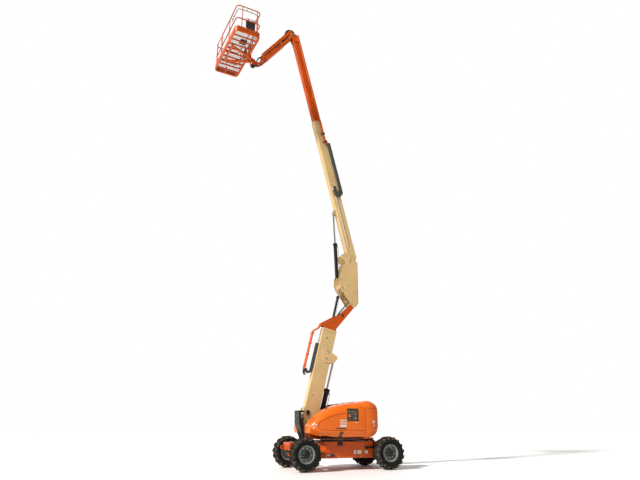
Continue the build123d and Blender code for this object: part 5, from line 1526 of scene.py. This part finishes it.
@dataclass
class Platform:
    """Work platform's fittings: mesh floor, grab rail, console, gate latch, pedal."""

    back: float = 0.185
    front: float = 1.085
    half: float = 1.220
    floor: float = 13.781
    top: float = 14.812
    mid: float = 14.281
    rail: float = 0.019

    def frame_box(self, form: Form, x0: float, x1: float, y0: float, y1: float, z0: float, z1: float) -> None:
        """Add a box in the platform's own frame."""
        form.box(BASKET.at((x0 + x1) / 2, (y0 + y1) / 2, (z0 + z1) / 2), BASKET.out * (x1 - x0) / 2,
                 BASKET.side * (y1 - y0) / 2, UP * (z1 - z0) / 2)

    def mesh_floor(self, kit: Kit) -> None:
        """Open mesh of flat bars over the floor's ribs."""
        turn = (0.0, 0.0, math.radians(BASKET.degrees))
        empty = bpy.data.meshes.new("none")
        z = self.floor + 0.003
        x0, x1, y1 = self.back + 0.040, self.front - 0.040, self.half - 0.040
        pitch = 0.030
        rows = int((x1 - x0) / pitch) + 1
        kit.slats.grow("floor_mesh_long", empty, Finish.DARK_STEEL, "platform", Slot.ORANGE, Count=rows,
                       Start=tuple(BASKET.at(x0, 0.0, z)), Step=tuple(BASKET.out * pitch), Turn=turn,
                       Bar=(0.0028, 2 * y1, 0.006))
        rows = int(2 * y1 / pitch) + 1
        kit.slats.grow("floor_mesh_cross", bpy.data.meshes.new("none"), Finish.DARK_STEEL, "platform", Slot.ORANGE,
                       Count=rows, Start=tuple(BASKET.at((x0 + x1) / 2, -y1, z)), Step=tuple(BASKET.side * pitch),
                       Turn=turn, Bar=(x1 - x0, 0.0028, 0.005))

    def rails(self) -> None:
        """Grab rail, its hangers, welds and harness anchors."""
        grab = Form()
        side = self.half - self.rail
        inner = self.back + self.rail
        outer = self.front - self.rail
        bends = ((inner + 0.10, side - 0.50), (inner + 0.06, side - 0.16), (inner + 0.16, side - 0.06),
                 (outer - 0.16, side - 0.06), (outer - 0.06, side - 0.16), (outer - 0.06, 0.45))
        path = [BASKET.at(x, y, self.top - 0.095) for x, y in bends]
        grab.tube(sweep(path, 8), 0.014, 12)
        grab.done("grab_rail", Finish.GRIP, "platform", Slot.PANEL, smooth=60.0)
        holds = Form()
        for x, y in ((inner + 0.02, side - 0.45), (outer - 0.35, side - 0.02), (inner + 0.30, side - 0.02),
                     (outer - 0.02, side - 0.55), (outer - 0.02, 0.52)):
            near = BASKET.at(x, y, self.top - 0.022)
            inward = (BASKET.at((inner + outer) / 2, y - 0.06, 0) - BASKET.at(x, y, 0)).normalized() * 0.042
            holds.tube([near, near + inward * 0.5 - UP * 0.035, near + inward - UP * 0.073], 0.007, 8)
        holds.done("grab_rail_hangers", Finish.ORANGE, "platform", Slot.ORANGE)
        welds = Form()
        for x, y in ((outer, -0.45), (outer, 0.41), (inner, 0.41), (inner, -0.41), (inner, side - 0.30),
                     (inner, -side + 0.30), (outer - 0.20, side), (inner + 0.13, side), (inner + 0.43, -side)):
            for level in (self.mid, self.top):
                welds.turned(BASKET.at(x, y, level - 0.026), UP, ((0, 0.0175), (0.007, 0.0215), (0.014, 0.0230)), 14)
            self.frame_box(welds, x - 0.026, x + 0.026, y - 0.026, y + 0.026, self.floor, self.floor + 0.006)
        welds.done("rail_welds", Finish.ORANGE, "platform", Slot.ORANGE, smooth=60.0)
        anchors = Form()
        for y in (0.20, -0.20, 0.95, -0.95):
            centre = BASKET.at(inner + 0.030, y, self.mid - 0.06)
            self.frame_box(anchors, inner + 0.016, inner + 0.024, y - 0.03, y + 0.03,
                           self.mid - 0.10, self.mid - 0.012)
            anchors.turned(centre - UP * 0.008 - BASKET.out * 0.003, BASKET.out, ((0, 0.017), (0.003, 0.017)), 16)
        anchors.done("harness_anchors", Finish.YELLOW, "platform", Slot.ORANGE)

    def fittings(self, kit: Kit) -> None:
        """Console face, pedal, document box, latches and support screws."""
        inner = self.back + self.rail
        side = self.half - self.rail
        panel = Form()
        x0, x1, y0, y1 = inner + 0.180, inner + 0.480, side - 0.150, side - 0.020
        self.frame_box(panel, x0 - 0.006, x1 + 0.006, y0 - 0.006, y1, self.mid + 0.038, self.mid + 0.052)
        self.frame_box(panel, x0 + 0.01, x1 - 0.01, y0 - 0.012, y0 + 0.002, self.mid - 0.150, self.mid + 0.030)
        panel.done("console_lid", Finish.PLASTIC, "platform", Slot.PANEL, 0.004)
        body = Form()
        self.frame_box(body, x0 + 0.02, x0 + 0.12, y0 - 0.016, y0 - 0.010, self.mid - 0.13, self.mid - 0.02)
        self.frame_box(body, x0 + 0.18, x0 + 0.27, y0 - 0.016, y0 - 0.010, self.mid - 0.13, self.mid - 0.02)
        body.done("console_blank_plates", Finish.PALE, "platform", Slot.PANEL)
        sticks = Form()
        for x in (x0 + 0.07, x1 - 0.07):
            base = BASKET.at(x, (y0 + y1) / 2, self.mid + 0.052)
            sticks.turned(base, UP, ((0, 0.026), (0.010, 0.022), (0.018, 0.010), (0.055, 0.008), (0.060, 0.017),
                                     (0.105, 0.019), (0.120, 0.012)), 18)
        sticks.done("console_sticks", Finish.PLASTIC, "platform", Slot.PANEL)
        stop = Form().turned(BASKET.at((x0 + x1) / 2, y0 + 0.045, self.mid + 0.052), UP,
                             ((0, 0.013), (0.012, 0.013), (0.013, 0.022), (0.022, 0.024), (0.027, 0.018)), 22)
        stop.done("console_stop", Finish.RED, "platform", Slot.PANEL)
        keys = Form()
        for k in range(6):
            self.frame_box(keys, x0 + 0.115 + 0.014 * k, x0 + 0.124 + 0.014 * k, y1 - 0.045, y1 - 0.020,
                           self.mid + 0.052, self.mid + 0.060)
        keys.done("console_keys", Finish.YELLOW, "platform", Slot.PANEL, 0.001)
        guard = Form()
        arch = [BASKET.at(x, y0 + 0.02, z) for x, z in ((x0 - 0.01, self.mid + 0.04), (x0 - 0.01, self.mid + 0.16),
                                                        (x0 + 0.03, self.mid + 0.20), (x1 - 0.03, self.mid + 0.20),
                                                        (x1 + 0.01, self.mid + 0.16), (x1 + 0.01, self.mid + 0.04))]
        guard.tube(sweep(arch, 6), 0.009, 10)
        guard.done("console_guard", Finish.ORANGE, "platform", Slot.ORANGE, smooth=60.0)
        pedal = Form()
        self.frame_box(pedal, self.back + 0.32, self.back + 0.56, 0.56, 0.80, self.floor + 0.006, self.floor + 0.020)
        self.frame_box(pedal, self.back + 0.36, self.back + 0.50, 0.60, 0.76, self.floor + 0.020, self.floor + 0.060)
        pedal.done("foot_switch", Finish.PLASTIC, "platform", Slot.PANEL, 0.004)
        box = Form()
        self.frame_box(box, inner + 0.022, inner + 0.075, -0.36, -0.08, self.mid - 0.36, self.mid - 0.06)
        self.frame_box(box, inner + 0.020, inner + 0.079, -0.364, -0.076, self.mid - 0.085, self.mid - 0.055)
        box.done("document_box", Finish.PLASTIC, "platform", Slot.PANEL, 0.006)
        latch = Form()
        gate = self.front - self.rail
        self.frame_box(latch, gate + 0.012, gate + 0.017, -1.010, -0.930, self.mid - 0.035, self.mid + 0.035)
        self.frame_box(latch, gate - 0.024, gate - 0.012, -1.000, -0.900, self.mid - 0.012, self.mid + 0.012)
        latch.done("gate_latch", Finish.PLASTIC, "gate_leaf", Slot.PANEL, 0.001)
        cable = Form()
        for k, y in enumerate((0.02, 0.05, -0.02)):
            route = ((0.075, y, 13.66), (0.098, y, 13.80), (0.098, y + 0.01, 14.10), (0.120, y + 0.05, 14.22),
                     (0.168, y + 0.30, 14.20 - 0.01 * k), (0.172, y + 0.70, 14.15))
            cable.tube(sweep([BASKET.at(*point) for point in route], 8), 0.009)
        cable.done("platform_cables", Finish.HOSE, "platform", Slot.HOSE)
        screws = [(BASKET.at(0.098, y, z), -BASKET.out) for y in (-0.055, 0.055) for z in (13.80, 14.0, 14.30)]
        kit.bolts("mast_screws", screws, "platform", 0.008)
        under = [(BASKET.at(0.92, y, 13.671), -UP) for y in (-0.36, -0.12, 0.12, 0.36)]
        kit.bolts("support_screws", under, "platform", 0.008)

    def dress(self, kit: Kit) -> None:
        """Build the platform's fittings."""
        self.mesh_floor(kit)
        self.rails()
        self.fittings(kit)
        log.info("platform dressed")


# ------------------------------------------------------------------ studio
@dataclass
class Studio:
    """Pale floor, soft light and camera."""

    place: Point = (6.043, 15.443, 1.291)
    pitch: float = 19.48
    heading: float = 160.37
    lens: float = 28.96
    backdrop: Point = (-0.317, -0.888, 0.334)
    sky: float = 0.24
    sun: float = 4.6
    sun_turn: Point = (52.0, 0.0, 108.0)

    def floor(self) -> None:
        """Lay the floor."""
        form = Form().slab((-60.0, -60.0, -0.02), (60.0, 60.0, -0.0005))
        mesh = bpy.data.meshes.new("studio_floor")
        form.bm.to_mesh(mesh)
        form.bm.free()
        s = Shader("studio_floor")
        mesh.materials.append(s.finish((0.93, 0.93, 0.93, 1.0), s.noise(s.place(), 2.0) * 0.1 + 0.55))
        floor = bpy.data.objects.new("studio_floor", mesh)
        frame_scene().collection.objects.link(floor)

    def light(self) -> None:
        """Set the sky and the key light."""
        world = bpy.data.worlds.new("studio_sky")
        world.use_nodes = True
        tree = world.node_tree
        where = tree.nodes.new("ShaderNodeTexCoord")
        towards = tree.nodes.new("ShaderNodeVectorMath")
        towards.operation = "DOT_PRODUCT"
        towards.inputs[1].default_value = self.backdrop
        tree.links.new(where.outputs["Generated"], towards.inputs[0])
        level = tree.nodes.new("ShaderNodeMapRange")
        for index, value in enumerate((0.66, 0.78, self.sky, 1.0), start=1):
            level.inputs[index].default_value = value
        tree.links.new(towards.outputs["Value"], level.inputs[0])
        background = tree.nodes["Background"]
        background.inputs[0].default_value = (1.0, 1.0, 1.0, 1.0)
        tree.links.new(level.outputs[0], background.inputs[1])
        frame_scene().world = world
        lamp = bpy.data.lights.new("key", "SUN")
        lamp.energy = self.sun
        lamp.angle = math.radians(5.0)
        lamp.color = (1.0, 0.96, 0.90)
        made = bpy.data.objects.new("key", lamp)
        made.rotation_euler = [math.radians(t) for t in self.sun_turn]
        frame_scene().collection.objects.link(made)

    def camera(self) -> None:
        """Stand the camera in front of the machine's left side."""
        data = bpy.data.cameras.new("view")
        data.sensor_width = 36.0
        data.lens = self.lens
        data.clip_end = 300.0
        made = bpy.data.objects.new("view", data)
        made.location = self.place
        made.rotation_euler = (math.radians(90.0 + self.pitch), 0.0, math.radians(self.heading))
        frame_scene().collection.objects.link(made)
        frame_scene().camera = made

    def build(self) -> None:
        """Build the studio."""
        self.floor()
        self.light()
        self.camera()
        frame_scene().view_settings.view_transform = "Standard"


NODE_FINISHES: dict[Finish, tuple[str, ...]] = {
    Finish.HOOD: ("hood_left", "hood_right"),
    Finish.ORANGE: ("chassis_frame", "tie_downs_front", "tie_downs_rear",
                    "front_axle", "rear_axle", "knuckle_left", "knuckle_right", "turntable_deck",
                    "tower_fly", "main_fly", "main_push_tube", "jib_root", "jib_arm", "jib_link", "jib_end",
                    "platform_support", "platform_floor", "platform_rails", "gate", "tower_hose_carrier"),
    Finish.CREAM: ("tower_base", "upright_frame", "main_base", "tower_mounts"),
    Finish.BLACK: ("front_guard", "tower_lift_barrel", "level_barrel", "main_lift_barrel", "jib_lift_barrel",
                   "tie_rod"),
    Finish.CHROME: ("tower_lift_rod", "level_rod", "main_lift_rod", "jib_lift_rod"),
    Finish.GREY: ("rim_front_left", "rim_front_right", "rim_rear_left", "rim_rear_right"),
    Finish.DARK_STEEL: ("slewing_ring",),
    Finish.CAST: ("counterweight", "engine_block"),
    Finish.TRACK: ("main_track", "tower_track"),
    Finish.PLASTIC: ("control_panel", "console"),
    Finish.TYRE: ("tyre_front_left", "tyre_front_right", "tyre_rear_left", "tyre_rear_right"),
}


def coat_nodes() -> None:
    """Give every CAD node its finish."""
    for finish, nodes in NODE_FINISHES.items():
        for node in nodes:
            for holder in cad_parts[node].material_slots:
                holder.material = finish.material()


def main() -> None:
    """Build the studio, coat the nodes and dress every sub-assembly."""
    logging.basicConfig(level=logging.INFO, format="%(name)s: %(message)s")
    Studio().build()
    coat_nodes()
    kit = Kit(screw_tree(), rib_tree(), slat_tree(), lug_tree())
    for part in (Wheels(), Chassis(), Turntable(), Tower(), Upright(), MainBoom(), Jib(), Platform()):
        part.dress(kit)


if __name__ == "__main__":
    main()
